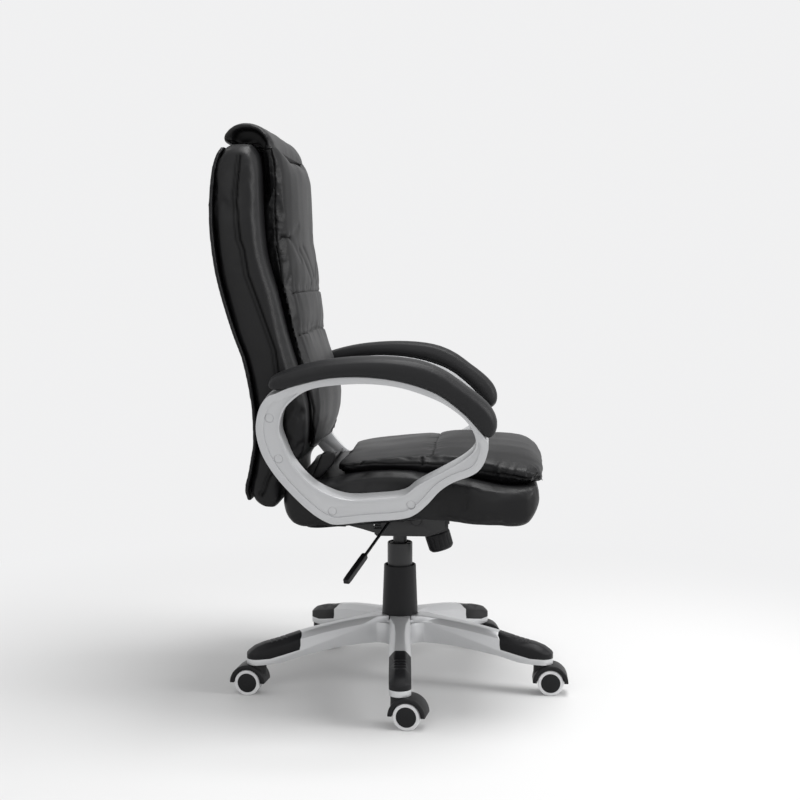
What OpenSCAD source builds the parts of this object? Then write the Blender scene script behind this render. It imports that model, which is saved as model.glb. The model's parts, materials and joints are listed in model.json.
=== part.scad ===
// Office chair on a five-star base, with a gas spring, a tilt mechanism and closed arm loops.
// The origin is on the floor under the column. The chair faces -Y and the sitter's left is +X.
// Side views are written as [forward, height], where forward is -Y.

/* [Base] */
// Radius of the circle on which the caster stems stand
stem_circle_r = 292.5; // [270:0.5:320]
// Width of a leg
leg_w = 41; // [38:1:46]
// Width of the flat ridge along a leg's top
ridge_w = 18; // [12:1:22]
// Drop from the ridge to a leg's side
shoulder_drop = 10; // [6:0.5:12]
// Wall of a leg's open underside
leg_wall = 4; // [3:0.5:6]
// Cross ribs in a leg's underside
rib_count = 4; // [2:1:5]
// Radius of the hub
hub_r = 40; // [38:0.5:43]
// Top of the hub above the floor
hub_top = 130; // [126:1:134]
// Radius of the fillets between neighbouring legs
fillet_r = 25; // [15:1:35]
// Thickness of a foot cap
cap_t = 2.5; // [1.5:0.5:4]
// Cross grooves in a foot cap
groove_count = 4; // [0:1:5]

/* [Casters] */
// Diameter of a wheel
wheel_d = 50; // [46:0.5:52]
// Width of a wheel
wheel_w = 15; // [12:0.5:17]
// Width of the hood's centre web
web_w = 14; // [13:0.5:18]
// Distance from the stem's axis back to the axle
trail = 15.5; // [14:0.5:20]
// Thickness of a wheel's tread
tread_t = 6.25; // [3:0.25:8]
// Diameter of the axle
axle_d = 6; // [5:0.5:8]
// Diameter of the stem
stem_d = 11; // [10:0.5:12]
// Gap between a wheel's tread and its hood
hood_gap = 1.5; // [1:0.25:3]
// Thickness of the hood over the treads
hood_t = 8; // [4:0.5:8]

/* [Column] */
// Diameter of the gas spring's outer tube
tube_d = 50; // [48:0.5:52]
// Wall of the outer tube
tube_wall = 2.5; // [2:0.25:3.5]
// Top of the outer tube
tube_top = 283; // [270:1:286]
// Diameter of the gas cylinder
cylinder_d = 28; // [26:0.5:30]
// Diameter of the piston rod
rod_d = 10; // [8:0.5:12]
// Height travel of the seat
lift_travel = 100; // [60:5:110]
// Diameter of the sleeve at its foot
sleeve_foot_d = 71.5; // [66:0.5:75]
// Diameter of the sleeve at its rim
sleeve_rim_d = 64; // [60:0.5:66]
// Height of the sleeve
sleeve_h = 107; // [90:1:130]
// Wall of the sleeve
sleeve_wall = 3; // [2:0.25:4]

/* [Mechanism] */
// Underside of the mechanism housing
housing_z = 300; // [298:1:304]
// Sheet thickness of the housing
housing_t = 4; // [3:0.5:5]
// Width inside the housing
housing_in_w = 66; // [60:1:70]
// Thickness of the seat plate
plate_t = 3; // [2:0.5:3.5]
// Gap between the housing and a side rail of the seat plate
rail_gap = 8; // [4:1:10]
// Diameter of the tilt pin
pin_d = 14; // [10:1:16]
// Wall of the bushes on the tilt pin
bush_wall = 1.5; // [1:0.25:3]
// Steps of the tilt lock
lock_steps = 3; // [1:1:3]
// Tilt between two steps of the lock, in degrees
lock_step = 4; // [3:0.5:4]
// Thickness of the lock plate
lock_t = 2.5; // [1.5:0.25:3]
// Diameter of the lever's rod
lever_d = 6; // [5:0.5:7]
// Length of the lever's grip
grip_l = 90; // [80:5:120]
// Width of the lever's grip
grip_w = 11; // [10:0.5:20]
// Thickness of the lever's grip
grip_t = 10; // [9:0.5:12]
// Diameter of the tension knob
knob_d = 51; // [46:1:52]
// Length of the tension knob
knob_l = 37.5; // [34:0.5:42]
// Diameter of the tension bolt
bolt_d = 10; // [8:0.5:10]
// Wire diameter of the tension spring
wire_d = 4.5; // [3:0.25:5]
// Turns of the tension spring
spring_turns = 6; // [4:1:7]

/* [Arms] */
// Thickness of an arm frame
arm_t = 40; // [34:1:46]
// Outward lean of the arms, in degrees
arm_lean = 9.5; // [7:0.5:11]
// Distance from the middle to an arm's inner face at the reference height
arm_in_x = 225; // [215:1:235]
// Width of the raised band round an arm's outer face
band_w = 14; // [8:1:16]
// Width of the raised lip round the loop
lip_w = 4; // [3:0.5:6]
// Depth of the hollow between the band and the lip
hollow_depth = 3; // [1:0.5:6]
// Width of an arm pad
pad_w = 54; // [46:1:58]
// Diameter of the arm bolts
arm_bolt_d = 8; // [6:1:10]
// Diameter of the plugs over the bolt heads
plug_d = 16; // [14:1:20]

/* [Seat and back] */
// Thickness of the seat board
board_t = 14; // [10:1:18]
// Half of the seat board's width
board_half = 205; // [195:1:208]
// Thickness of the back board
back_board_t = 14; // [10:1:18]
// Thickness of the back's rear cover
rear_cover_t = 7; // [4:1:10]
// Half of the back's width above the arms
back_half = 262; // [250:1:264]
// Half of the back pillow's width
back_pillow_half = 195; // [185:1:215]
// Half of the head crown's width
crown_half = 190; // [170:1:205]
// Depth of the sewn channels in the back pillow
channel_depth = 6; // [3:0.5:10]
// Depth of the sewn channel across the seat pillow
seat_channel = 5; // [2:0.5:8]

/* [Hidden] */
$fn = 64;

// Clearances
run_gap = 0.05;    // radial, where a shaft turns or slides in its bore
seat_gap = 0.1;    // between rigid pieces of one body
soft_gap = 0.3;    // between a cushion and what it lies on
over = 1;          // how far a cut runs past a face

// Legs: the ridge, the flat underside and the foot cap, as [radius, height]
leg_angles = [184.1, 256.1, 328.1, 40.1, 112.1];
leg_ridge = [[30, 138], [53, 138.5], [84, 135], [125, 130], [166, 124], [207, 116], [247, 106],
  [277, 100], [295, 94], [307, 86], [316, 76]];
leg_floor = [[30, 86], [84, 86], [125, 84], [166, 78.5], [207, 72], [248, 62], [262, 60], [316, 60]];
foot_z = 60;
ridge_ends_r = 112;      // where the flat top starts to narrow into the ridge
ridge_fades = 70;
ridge_edge = 1.5;
ridge_edge_drop = 0.8;
pocket_end = 8;          // solid metal at both ends of a leg's pockets
hub_skin = 3;
fillet_foot = 6;         // from the hub's floor up to the fillets
fillet_drop = 4;         // from the hub's top down to them
cap_start_r = 203;
cap_nose_r = 30;
cap_edge = [[cap_start_r, 130], [213, 84], [248, 76], [272, 71], [330, 71]];
hub_floor = 80;
stem_top = 84;

// Casters: the direction in which each one trails at rest, as an angle in plan
trail_angles = [262, 270, 278, 266, 84];
wheel_r = wheel_d / 2;
hood_gap_x = 0.3;
web_gap = 0.3;
hood_lap = 0.7;          // how far the hood reaches past the wheels' outer faces
hood_w = web_w + 2 * (wheel_w + web_gap + hood_lap);
hood_in_r = wheel_r + hood_gap;
hood_r = min(hood_in_r + hood_t, foot_z - hood_gap_x - 0.2 - wheel_r);
neck_r = 17.5;
neck_foot = 32;
stem_foot = neck_foot + 4;
axle_boss = 5;
disc_r = wheel_r - tread_t;
disc_wall = 2.5;

// Column
tube_floor_t = 3;
groove_foot = hub_floor - 3;
groove_h = 2;
groove_in = 1;
rod_foot = groove_foot - 1;
bush_foot = 200;
bush_top = tube_top - 3;
cylinder_foot = bush_foot - lift_travel + 12;
rod_top = cylinder_foot + lift_travel + 24;
taper_foot = 288;
taper_top = 331;
taper_drop = 1;
pin_top = 336;
release_d = 8;
release_travel = 3;
pin_foot = taper_top - 12;
bearing_h = 7;
sleeve_rim_z = hub_top + sleeve_h;

// Mechanism, in side view
pivot = [35, 335];
housing_out = housing_in_w / 2 + housing_t;
rail_x = housing_out + rail_gap;
rod_axis = [-14, 337];
lock_z = 318;
lock_mid = -40;
lock_w = 14;
lug_x = -17;             // the lock plate's lug, which the rod's collars hold
lug_plate_t = 3;
rail_t = 3;
socket_wall = 5;
knob_top = [74, 302];
knob_tilt = 17;
cup_depth = 22;
bridge_up = 27;
bridge_t = 4;
lug_up = 43;
lug_t = 5;
lug_w = 24;
lever_bend = [-62, -rod_axis[0], rod_axis[1]];
lever_end = [-250, 81, 255];

// The seat plate lies in a plane that falls to the rear
plane_slope = 5.4;
plane_ref = [16, 360];
plate_bolts_f = [-92, 80];
plate_bolts_x = 80;
plate_bolt_d = 6;

// Arms, in the leaning plane of an arm: [forward, distance up the lean]
arm_ref_z = 380;
arm_points = 5;
arm_outer = [[-199, 234], [-215, 227], [-229, 208], [-237, 178], [-236, 149], [-226, 115],
  [-204, 78], [-173, 41], [-142, 11], [-116, -6], [-94, -11], [-44, -5], [20, 1], [46, 10],
  [69, 30], [91, 55], [116, 72], [148, 85], [164, 98], [174, 119], [177, 145], [161, 168],
  [132, 200], [85, 235], [23, 256], [-40, 264], [-103, 262], [-167, 247]];
arm_inner = [[-141, 240], [-104, 248], [-40, 252], [23, 245], [86, 223], [126, 197], [146, 174],
  [155, 151], [152, 132], [132, 113], [101, 94], [53, 67], [24, 46], [-27, 39], [-76, 37],
  [-115, 49], [-146, 70], [-174, 105], [-189, 142], [-195, 168], [-187, 201], [-167, 224]];
back_bolts = [[-213, 188], [-199, 112]];
seat_bolts = [[-104, 14], [39, 28]];
arm_bolt_l = 80;
head_t = 5;
head_d = 13;
plug_t = 3;
// Where the pad meets the frame, and where its top is, at the same places
pad_foot = [[-211, 242], [-196, 238], [-167, 247], [-135, 256], [-103, 262], [-70, 264], [-40, 264],
  [-8, 261], [23, 256], [55, 247], [85, 235], [110, 219], [132, 200], [148, 184], [161, 168],
  [168, 160], [174, 154]];
pad_crest = [[-214, 249], [-206, 263], [-176, 276], [-142, 286], [-107, 293], [-72, 297], [-40, 299],
  [-4, 299], [34, 296], [70, 288], [104, 272], [134, 250], [163, 228], [184, 206], [193, 184],
  [191, 164], [180, 153]];
pad_shift = 5;

// Seat box and seat pillow along the seat: [forward, value]
seat_floor = [[-205, 384], [-201, 366], [-185, 347], [-170, 341], [-114, 344], [-49, 352], [16, 359],
  [53, 362], [126, 360], [199, 359], [226, 357], [253, 360], [267, 376], [276, 402]];
seat_joint = [[-205, 408], [-201, 424], [-185, 431], [-121, 438], [-74, 447], [-19, 453], [35, 452],
  [53, 449], [126, 443], [199, 430], [253, 429], [270, 432], [276, 424]];
box_half = [[-205, arm_in_x - 28], [-195, arm_in_x - 10], [-180, arm_in_x - 4], [-150, arm_in_x - 1],
  [-100, arm_in_x - 0.5], [50, arm_in_x - 0.5], [95, arm_in_x - 0.5], [125, arm_in_x + 8],
  [150, arm_in_x + 20], [200, arm_in_x + 27], [240, arm_in_x + 25], [262, arm_in_x + 14],
  [276, arm_in_x - 16]];
pillow_crest = [[-107, 462], [-100, 468], [-84, 471], [-58, 475], [-13, 481], [29, 486], [57, 490],
  [85, 495], [108, 499], [147, 500], [187, 496], [209, 493], [234, 487], [250, 480], [262, 471], [272, 460],
  [282, 446]];
pillow_seam = [[-107, 456], [-83, 461], [-47, 467], [-1, 471], [55, 473], [90, 470], [140, 463],
  [180, 455], [216, 448], [252, 444], [270, 444], [282, 438]];
pillow_half = [[-107, 178], [-95, 195], [-70, 203], [130, 206], [175, 212], [200, 218], [225, 222],
  [248, 222], [265, 213], [282, 180]];
cross_seam_f = 70;
box_front = 276;
pillow_rear = -107;
// The box and the pillow share their stations, so their faces run together
seat_stations = [-205, -202, -196, -185, -170, -152, -137, -107, -104, -98, -86, -65, -35, 0, 35, 55, 64,
  70, 76, 85, 100, 125, 150, 175, 200, 220, 240, 255, 266, 273, 276, 280, 282];

// Back, seen from the side, as [height, forward]
back_rear = [[380, -230], [383, -249], [396, -266], [418, -272], [451, -264], [485, -257], [507, -253],
  [573, -253], [616, -259], [660, -268], [703, -284], [747, -298], [790, -310], [833, -319],
  [898, -326], [941, -327], [973, -325], [1005, -322], [1032, -315], [1053, -304]];
back_joint = [[380, -222], [396, -209], [431, -208], [445, -200], [459, -187], [478, -168], [515, -158],
  [551, -156], [579, -158], [613, -166], [660, -181], [705, -194], [742, -203], [783, -213],
  [813, -222], [849, -232], [894, -238], [947, -240], [1018, -242], [1053, -250]];
pillow_front = [[484, -158], [498, -150], [525, -139], [551, -133], [583, -131], [610, -135], [651, -147],
  [680, -157], [701, -162], [737, -164], [792, -168], [840, -174], [886, -180], [942, -184],
  [993, -186], [1010, -189], [1022, -196], [1034, -207]];
pillow_side = [[484, -163], [513, -150], [550, -143], [587, -144], [614, -148], [665, -167], [714, -181],
  [750, -190], [795, -200], [840, -206], [894, -212], [948, -214], [993, -214], [1034, -221]];
back_half_at = [[380, 216], [400, 226], [455, 236], [500, 244], [569, 255], [625, back_half],
  [900, back_half], [960, back_half - 5], [1005, back_half - 12], [1039, back_half - 26],
  [1053, back_half - 46]];
pillow_half_at = [[484, 0.86], [500, 0.93], [540, 0.99], [600, 1], [900, 1], [980, 0.97], [1020, 0.92],
  [1034, 0.88]];
channels = [[711, 1], [790, 0.85], [880, 0.35]];
back_pillow_z = [484, 1034];
back_top = 1053;
cover_z = [398, 1044];
// The back box, its pillow and its rear cover share their stations too
back_stations = [380, 383, 388, 398, 415, 431, 445, 459, 474, 484, 487, 494, 505, 522, 545, 575, 605,
  635, 665, 688, 703, 711, 719, 735, 760, 782, 790, 798, 820, 850, 880, 910, 940, 970, 995, 1012, 1024,
  1031, 1034, 1044, 1049, back_top];
board_line = [[410, -236], [450, -221], [490, -206], [565, -211], [620, -223], [700, -245], [800, -276],
  [900, -292], [1000, -290], [1030, -284]];
back_rail_z = [462, 600];
back_rail_t = 34;
rail_half_w = 24;
seat_rail_h = 46;
board_y = [-129, 181];
rail_y = [-60, 148];
back_rail_x = [202, 228];
crown_line = [[-212, 1036], [-216, 1052], [-224, 1068], [-236, 1081], [-251, 1089], [-267, 1092],
  [-284, 1091], [-299, 1085], [-311, 1074], [-318, 1062], [-317, 1054]];
flap_line = [[-126, 449], [-108, 466], [-104, 481], [-107, 490], [-118, 492], [-132, 486], [-140, 464], [-148, 446]];
flap_half = 205;
// The soft flap stands up at its right end: [place across, share of the full height]
flap_rise = [[-205, 0.97], [-196, 1], [-180, 0.95], [-150, 0.72], [-110, 0.48], [-60, 0.32], [0, 0.25],
  [100, 0.22], [205, 0.2]];

// Value at x of a smooth curve through a table of [x, y]
function slope_at(t, i) =
  let (a = max(i - 1, 0), b = min(i + 1, len(t) - 1)) (t[b][1] - t[a][1]) / (t[b][0] - t[a][0]);
function find(t, x, i = 0) = (i >= len(t) - 2 || x < t[i + 1][0]) ? i : find(t, x, i + 1);
function blend(t, x, i) =
  let (h = t[i + 1][0] - t[i][0], u = (x - t[i][0]) / h)
  (2 * u ^ 3 - 3 * u ^ 2 + 1) * t[i][1] + (u ^ 3 - 2 * u ^ 2 + u) * h * slope_at(t, i)
  + (3 * u ^ 2 - 2 * u ^ 3) * t[i + 1][1] + (u ^ 3 - u ^ 2) * h * slope_at(t, i + 1);
function at(t, x) =
  let (c = min(max(x, t[0][0]), t[len(t) - 1][0])) blend(t, c, find(t, c));

// Closed smooth outline through points, with n points for each one given
function knot(p, i) = p[(i + len(p)) % len(p)];
function between(a, b, c, d, u) =
  0.5 * (2 * b + (c - a) * u + (2 * a - 5 * b + 4 * c - d) * u ^ 2 + (3 * b - a - 3 * c + d) * u ^ 3);
function smooth(p, n) = [for (i = [0:len(p) - 1]) for (k = [0:n - 1])
  between(knot(p, i - 1), knot(p, i), knot(p, i + 1), knot(p, i + 2), k / n)];
// Open smooth line through points
function end_knot(p, i) = p[min(max(i, 0), len(p) - 1)];
function smooth_line(p, n) = concat([for (i = [0:len(p) - 2]) for (k = [0:n - 1])
  between(end_knot(p, i - 1), p[i], p[i + 1], end_knot(p, i + 2), k / n)], [p[len(p) - 1]]);
// Outline moved sideways: a positive distance widens one drawn clockwise
function unit(v) = v / norm(v);
function grow(p, d) = [for (i = [0:len(p) - 1])
  let (t = unit(knot(p, i + 1) - knot(p, i - 1))) p[i] + d * [-t[1], t[0]]];

// Solid through rings with the same number of points
module loft(rings) {
  n = len(rings[0]);
  m = len(rings);
  last = (m - 1) * n;
  points = [for (r = rings) for (p = r) p];
  sides = [for (j = [0:m - 2]) for (i = [0:n - 1]) for (s = [0, 1])
    let (a = j * n + i, b = j * n + (i + 1) % n) s == 0 ? [a, b, b + n] : [a, b + n, a + n]];
  floor_cap = [[for (i = [n - 1:-1:0]) i]];
  top_cap = [[for (i = [0:n - 1]) last + i]];
  polyhedron(points, concat(sides, floor_cap, top_cap), convexity = 6);
}

// Side-view outline across the chair, from x0 to x1
module across(x0, x1) {
  translate([x0, 0, 0]) rotate([90, 0, 90]) mirror([1, 0, 0]) linear_extrude(x1 - x0) children();
}

// Rod from one point to another
module rod(p, q, d) {
  v = q - p;
  translate(p) rotate([0, acos(v[2] / norm(v)), atan2(v[1], v[0])]) cylinder(h = norm(v), d = d);
}

// Children drawn in an arm's plane, on the left or mirrored to the right
module arm_plane(side) {
  mirror([side > 0 ? 0 : 1, 0, 0])
    translate([arm_in_x, 0, arm_ref_z]) rotate([0, arm_lean, 0]) rotate([90, 0, -90]) children();
}

// Children drawn in the seat plane: +X across, +Y back, z up from the board's underside
module seat_plane() {
  translate([0, -plane_ref[0], plane_ref[1]]) rotate([-plane_slope, 0, 0]) children();
}

// Base: a leg lies along +X
function ridge_half(r) = ridge_w / 2 + (leg_w - ridge_w) / 2 * min(1, max(0, (ridge_ends_r - r) / ridge_fades) ^ 2);
function leg_ring(r, inset) =
  let (b = leg_w / 2 - inset, c = min(ridge_half(r), b - ridge_edge - 0.5), e = c + ridge_edge,
    z = at(leg_ridge, r) - inset, s = z - shoulder_drop + inset / 3, f = at(leg_floor, r))
  [[r, -b, f], [r, -b, s], [r, -e, z - ridge_edge_drop], [r, -c + 1, z], [r, c - 1, z],
    [r, e, z - ridge_edge_drop], [r, b, s], [r, b, f]];
module leg_shape(inset) {
  intersection() {
    loft([for (k = leg_ridge) leg_ring(k[0], inset)]);
    union() {
      translate([0, -leg_w, 0]) cube([stem_circle_r, 2 * leg_w, 2 * hub_top]);
      translate([stem_circle_r, 0, 0]) cylinder(r = leg_w / 2 - inset, h = 2 * hub_top);
    }
  }
}
module cap_zone() {
  nose_x = cap_start_r + cap_nose_r;
  high = 2 * hub_top;
  intersection() {
    rotate([90, 0, 0]) linear_extrude(2 * leg_w, center = true)
      polygon(concat(cap_edge, [[cap_edge[4][0], high], [cap_start_r, high]]));
    union() {
      translate([nose_x, 0, 0]) cylinder(r = cap_nose_r, h = high);
      translate([nose_x, -leg_w, 0]) cube([2 * stem_circle_r, 2 * leg_w, high]);
    }
  }
}
module leg_pockets() {
  pocket_w = leg_w - 2 * (leg_wall + cap_t);
  inner_r = hub_r + pocket_end;
  outer_r = stem_circle_r - stem_d / 2 - pocket_end;
  rib_t = 2.5;
  roof = [for (k = [0:8]) let (r = inner_r + (outer_r - inner_r) * k / 8)
    [r, at(leg_ridge, r) - shoulder_drop - leg_wall - cap_t]];
  difference() {
    rotate([90, 0, 0]) linear_extrude(pocket_w, center = true)
      polygon(concat([[inner_r, 0]], roof, [[outer_r, 0]]));
    translate([0, -rib_t / 2, 0]) cube([stem_circle_r, rib_t, 2 * hub_top]);
    for (k = [1:rib_count])
      translate([inner_r + (outer_r - inner_r) * k / (rib_count + 1) - rib_t / 2, -leg_w, 0])
        cube([rib_t, 2 * leg_w, 2 * hub_top]);
  }
}
module hub_fillet() {
  half = 180 / len(leg_angles);
  blend = 0.3;
  sunk = 4;
  d = (leg_w / 2 + fillet_r - blend) / sin(half);
  t = d * cos(half);
  u = [cos(half), sin(half)];
  n = [sin(half), -cos(half)];
  in_leg = t * u + (leg_w / 2 - sunk) * n;
  edge = t * u + leg_w / 2 * n;
  translate([0, 0, hub_floor + fillet_foot])
    linear_extrude(hub_top - hub_floor - fillet_foot - fillet_drop) difference() {
    polygon([[tube_d / 2 + sunk, 0], [in_leg[0], -in_leg[1]], [edge[0], -edge[1]], [d, 0], edge, in_leg]);
    translate([d, 0]) circle(r = fillet_r);
  }
}
module base_leg() {
  difference() {
    leg_shape(0);
    difference() {
      cap_zone();
      leg_shape(cap_t);
    }
    leg_pockets();
    translate([stem_circle_r, 0, foot_z - over])
      cylinder(d = stem_d + 2 * run_gap, h = stem_top - foot_z + over);
    cylinder(r = hub_r - hub_skin, h = hub_top);
    translate([0, 0, hub_top - over]) cylinder(d = sleeve_foot_d + 2 * seat_gap, h = hub_top);
  }
}
module star_base() {
  bore_r = tube_d / 2;
  color([0.68, 0.69, 0.7]) union() {
    rotate_extrude() polygon([[bore_r, hub_floor], [hub_r - hub_skin, hub_floor], [hub_r, hub_floor + hub_skin],
      [hub_r, hub_top - 2], [hub_r - 2, hub_top], [bore_r, hub_top]]);
    for (a = leg_angles) rotate([0, 0, a]) {
      base_leg();
      rotate([0, 0, 180 / len(leg_angles)]) hub_fillet();
    }
  }
}
module foot_caps() {
  groove_r = 236;
  groove_pitch = 10;
  groove_w = 3;
  cap_slope = 13;
  color([0.09, 0.09, 0.1]) for (a = leg_angles) rotate([0, 0, a]) difference() {
    intersection() {
      cap_zone();
      leg_shape(0);
    }
    leg_shape(cap_t - seat_gap);
    if (groove_count > 0) for (k = [0:groove_count - 1]) let (r = groove_r + k * groove_pitch)
      translate([r, 0, at(leg_ridge, r)]) rotate([0, cap_slope, 0])
        cube([groove_w, ridge_w + 4 * groove_w, groove_w], center = true);
  }
}

// Casters: a caster trails along +X from its stem, with its axle along Y
module caster_place(i) {
  translate([stem_circle_r * cos(leg_angles[i]), stem_circle_r * sin(leg_angles[i]), 0])
    rotate([0, 0, trail_angles[i]]) children();
}
module about_axle(side = 1) {
  translate([trail, 0, wheel_r]) rotate([-90 * side, 0, 0]) children();
}
module caster_hood(i) {
  edge = 1.5;
  inside = hood_in_r - 2;
  half_box = 2 * hood_r;
  profile = [[inside, -hood_w / 2], [hood_r - edge, -hood_w / 2], [hood_r, -hood_w / 2 + edge],
    [hood_r, hood_w / 2 - edge], [hood_r - edge, hood_w / 2], [inside, hood_w / 2]];
  color([0.1, 0.1, 0.11]) caster_place(i) difference() {
    union() {
      intersection() {
        about_axle() union() {
          rotate_extrude() polygon(profile);
          cylinder(r = hood_in_r, h = web_w, center = true);
        }
        translate([-half_box, -half_box, wheel_r]) cube(2 * half_box);
      }
      about_axle() cylinder(d = axle_d + 2 * axle_boss, h = web_w, center = true);
      translate([0, 0, neck_foot]) cylinder(r = neck_r, h = foot_z - hood_gap_x - neck_foot);
    }
    for (s = [-1, 1]) about_axle(s) translate([0, 0, web_w / 2]) cylinder(r = hood_in_r, h = hood_w);
    about_axle() cylinder(d = axle_d, h = hood_w, center = true);
    translate([0, 0, stem_foot]) cylinder(d = stem_d, h = foot_z);
  }
}
module caster_pins(i) {
  half = web_w / 2 + web_gap + wheel_w - disc_wall - seat_gap;
  tip = stem_top - 0.5;
  r = stem_d / 2;
  ring_r = r - 0.8;
  color([0.7, 0.71, 0.72]) caster_place(i) {
    rotate_extrude() polygon([[0, stem_foot], [r, stem_foot], [r, tip - 6], [ring_r, tip - 6],
      [ring_r, tip - 4], [r, tip - 4], [r, tip - 1], [r - 1, tip], [0, tip]]);
    about_axle() cylinder(d = axle_d, h = 2 * half, center = true);
  }
}
module wheel(i, side) {
  bore_r = axle_d / 2 + run_gap;
  boss_r = axle_d / 2 + 3.5;
  rim_r = disc_r - disc_wall;
  spoke_t = 2;
  spokes = 6;
  fit_r = disc_r - run_gap;
  inside = wheel_w - disc_wall;
  caster_place(i) about_axle(side) translate([0, 0, web_w / 2 + web_gap]) {
    color([0.1, 0.1, 0.11]) union() {
      rotate_extrude() polygon([[bore_r, 0], [boss_r, 0], [boss_r, inside], [rim_r, inside], [rim_r, 0.5],
        [fit_r, 0.5], [fit_r, wheel_w - 0.6], [fit_r - 0.6, wheel_w], [0, wheel_w], [0, inside],
        [bore_r, inside]]);
      for (k = [0:spokes - 1]) rotate([0, 0, 360 * k / spokes])
        translate([boss_r - 0.5, -spoke_t / 2, 2]) cube([rim_r - boss_r + 1, spoke_t, inside - 1]);
    }
    color([0.75, 0.76, 0.77]) rotate_extrude() polygon([[disc_r, 0.5], [wheel_r - 1.5, 0.5],
      [wheel_r - 0.4, 1.2], [wheel_r, 2.5], [wheel_r, wheel_w - 2.5], [wheel_r - 0.4, wheel_w - 1.2],
      [wheel_r - 1.5, wheel_w - 0.5], [disc_r, wheel_w - 0.5]]);
  }
}

// Column
module column_cover() {
  top_r = sleeve_rim_d / 2;
  foot_r = sleeve_foot_d / 2;
  rim = sleeve_wall / 2;
  edge = 0.8;
  foot_band = 6;
  color([0.09, 0.09, 0.1]) rotate_extrude() difference() {
    union() {
      polygon([[foot_r - sleeve_wall, hub_top], [foot_r - edge, hub_top], [foot_r, hub_top + edge],
        [foot_r, hub_top + foot_band], [top_r, sleeve_rim_z - rim], [top_r - sleeve_wall, sleeve_rim_z - rim]]);
      translate([top_r - rim, sleeve_rim_z - rim]) circle(r = rim);
    }
  }
}
module gas_tube() {
  r = tube_d / 2;
  mouth = tube_top - bush_top;
  edge = 1.5;
  color([0.1, 0.1, 0.11]) rotate_extrude() difference() {
    union() {
      polygon([[0, hub_floor], [r - edge, hub_floor], [r, hub_floor + edge], [r, tube_top - mouth],
        [r - mouth, tube_top - mouth], [0, tube_top - mouth]]);
      intersection() {
        translate([r - mouth, tube_top - mouth]) circle(r = mouth);
        translate([0, tube_top - mouth]) square([r, mouth]);
      }
    }
    translate([0, hub_floor + tube_floor_t]) square([r - tube_wall, tube_top]);
    translate([0, hub_floor - over]) square([rod_d / 2 + 0.5, hub_floor]);
  }
}
module guide_bush() {
  color([0.2, 0.2, 0.21]) translate([0, 0, bush_foot]) difference() {
    cylinder(d = tube_d - 2 * tube_wall, h = bush_top - bush_foot);
    translate([0, 0, -over]) cylinder(d = cylinder_d + 2 * run_gap, h = tube_top);
  }
}
module piston_rod() {
  shoulder_z = hub_floor + tube_floor_t + bearing_h;
  r = rod_d / 2;
  collar = [4, 3];
  color([0.75, 0.76, 0.77]) rotate_extrude() polygon([[0, rod_foot], [r, rod_foot], [r, groove_foot],
    [r - groove_in, groove_foot], [r - groove_in, groove_foot + groove_h], [r, groove_foot + groove_h],
    [r, shoulder_z], [r + collar[0], shoulder_z], [r + collar[0], shoulder_z + collar[1]],
    [r, shoulder_z + collar[1]], [r, rod_top], [0, rod_top]]);
}
module thrust_bearing() {
  r_in = rod_d / 2 + 0.5;
  r_out = r_in + 8;
  race_t = 1.8;
  mid = (r_in + r_out) / 2;
  ball_r = (bearing_h - 2 * race_t) / 2 - run_gap;
  balls = 10;
  color([0.6, 0.61, 0.62]) translate([0, 0, hub_floor + tube_floor_t]) {
    for (z = [0, bearing_h - race_t]) translate([0, 0, z]) difference() {
      cylinder(r = r_out, h = race_t);
      translate([0, 0, -over]) cylinder(r = r_in, h = bearing_h);
    }
    for (k = [0:balls - 1]) rotate([0, 0, 360 * k / balls]) translate([mid, 0, bearing_h / 2])
      sphere(r = ball_r);
  }
}
module retaining_clip() {
  slack = 0.2;
  clip_t = groove_h - 2 * slack;
  slot_w = 5;
  color([0.5, 0.5, 0.52]) translate([0, 0, groove_foot + slack]) difference() {
    cylinder(d = rod_d + 8, h = clip_t);
    translate([0, 0, -over]) cylinder(r = rod_d / 2 - groove_in + run_gap, h = 3 * clip_t);
    translate([0, -slot_w / 2, -over]) cube([rod_d, slot_w, 3 * clip_t]);
  }
}
module gas_cylinder() {
  r = cylinder_d / 2;
  bore_r = rod_d / 2 + run_gap;
  pin_r = release_d / 2 + run_gap;
  bore_floor = pin_foot - release_travel - 1;
  color([0.12, 0.12, 0.13]) rotate_extrude() polygon([[bore_r, cylinder_foot], [r - 1, cylinder_foot],
    [r, cylinder_foot + 1], [r, taper_foot], [r - taper_drop, taper_top - 1], [r - taper_drop - 1, taper_top],
    [pin_r, taper_top], [pin_r, bore_floor], [0, bore_floor], [0, rod_top + 2], [bore_r, rod_top + 2]]);
}
module release_pin() {
  r = release_d / 2;
  tip = pin_top - seat_gap;
  color([0.7, 0.71, 0.72]) rotate_extrude() polygon([[0, pin_foot], [r, pin_foot], [r, tip - 1],
    [r - 1, tip], [0, tip]]);
}

// Mechanism
function under_plate(f) =
  plane_ref[1] - plate_t / cos(plane_slope) + (f - plane_ref[0]) * tan(plane_slope);
module at_pivot() {
  translate([0, -pivot[0], pivot[1]]) rotate([0, 90, 0]) children();
}
module at_rod_axis() {
  translate([0, -rod_axis[0], rod_axis[1]]) rotate([0, 90, 0]) children();
}
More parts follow.
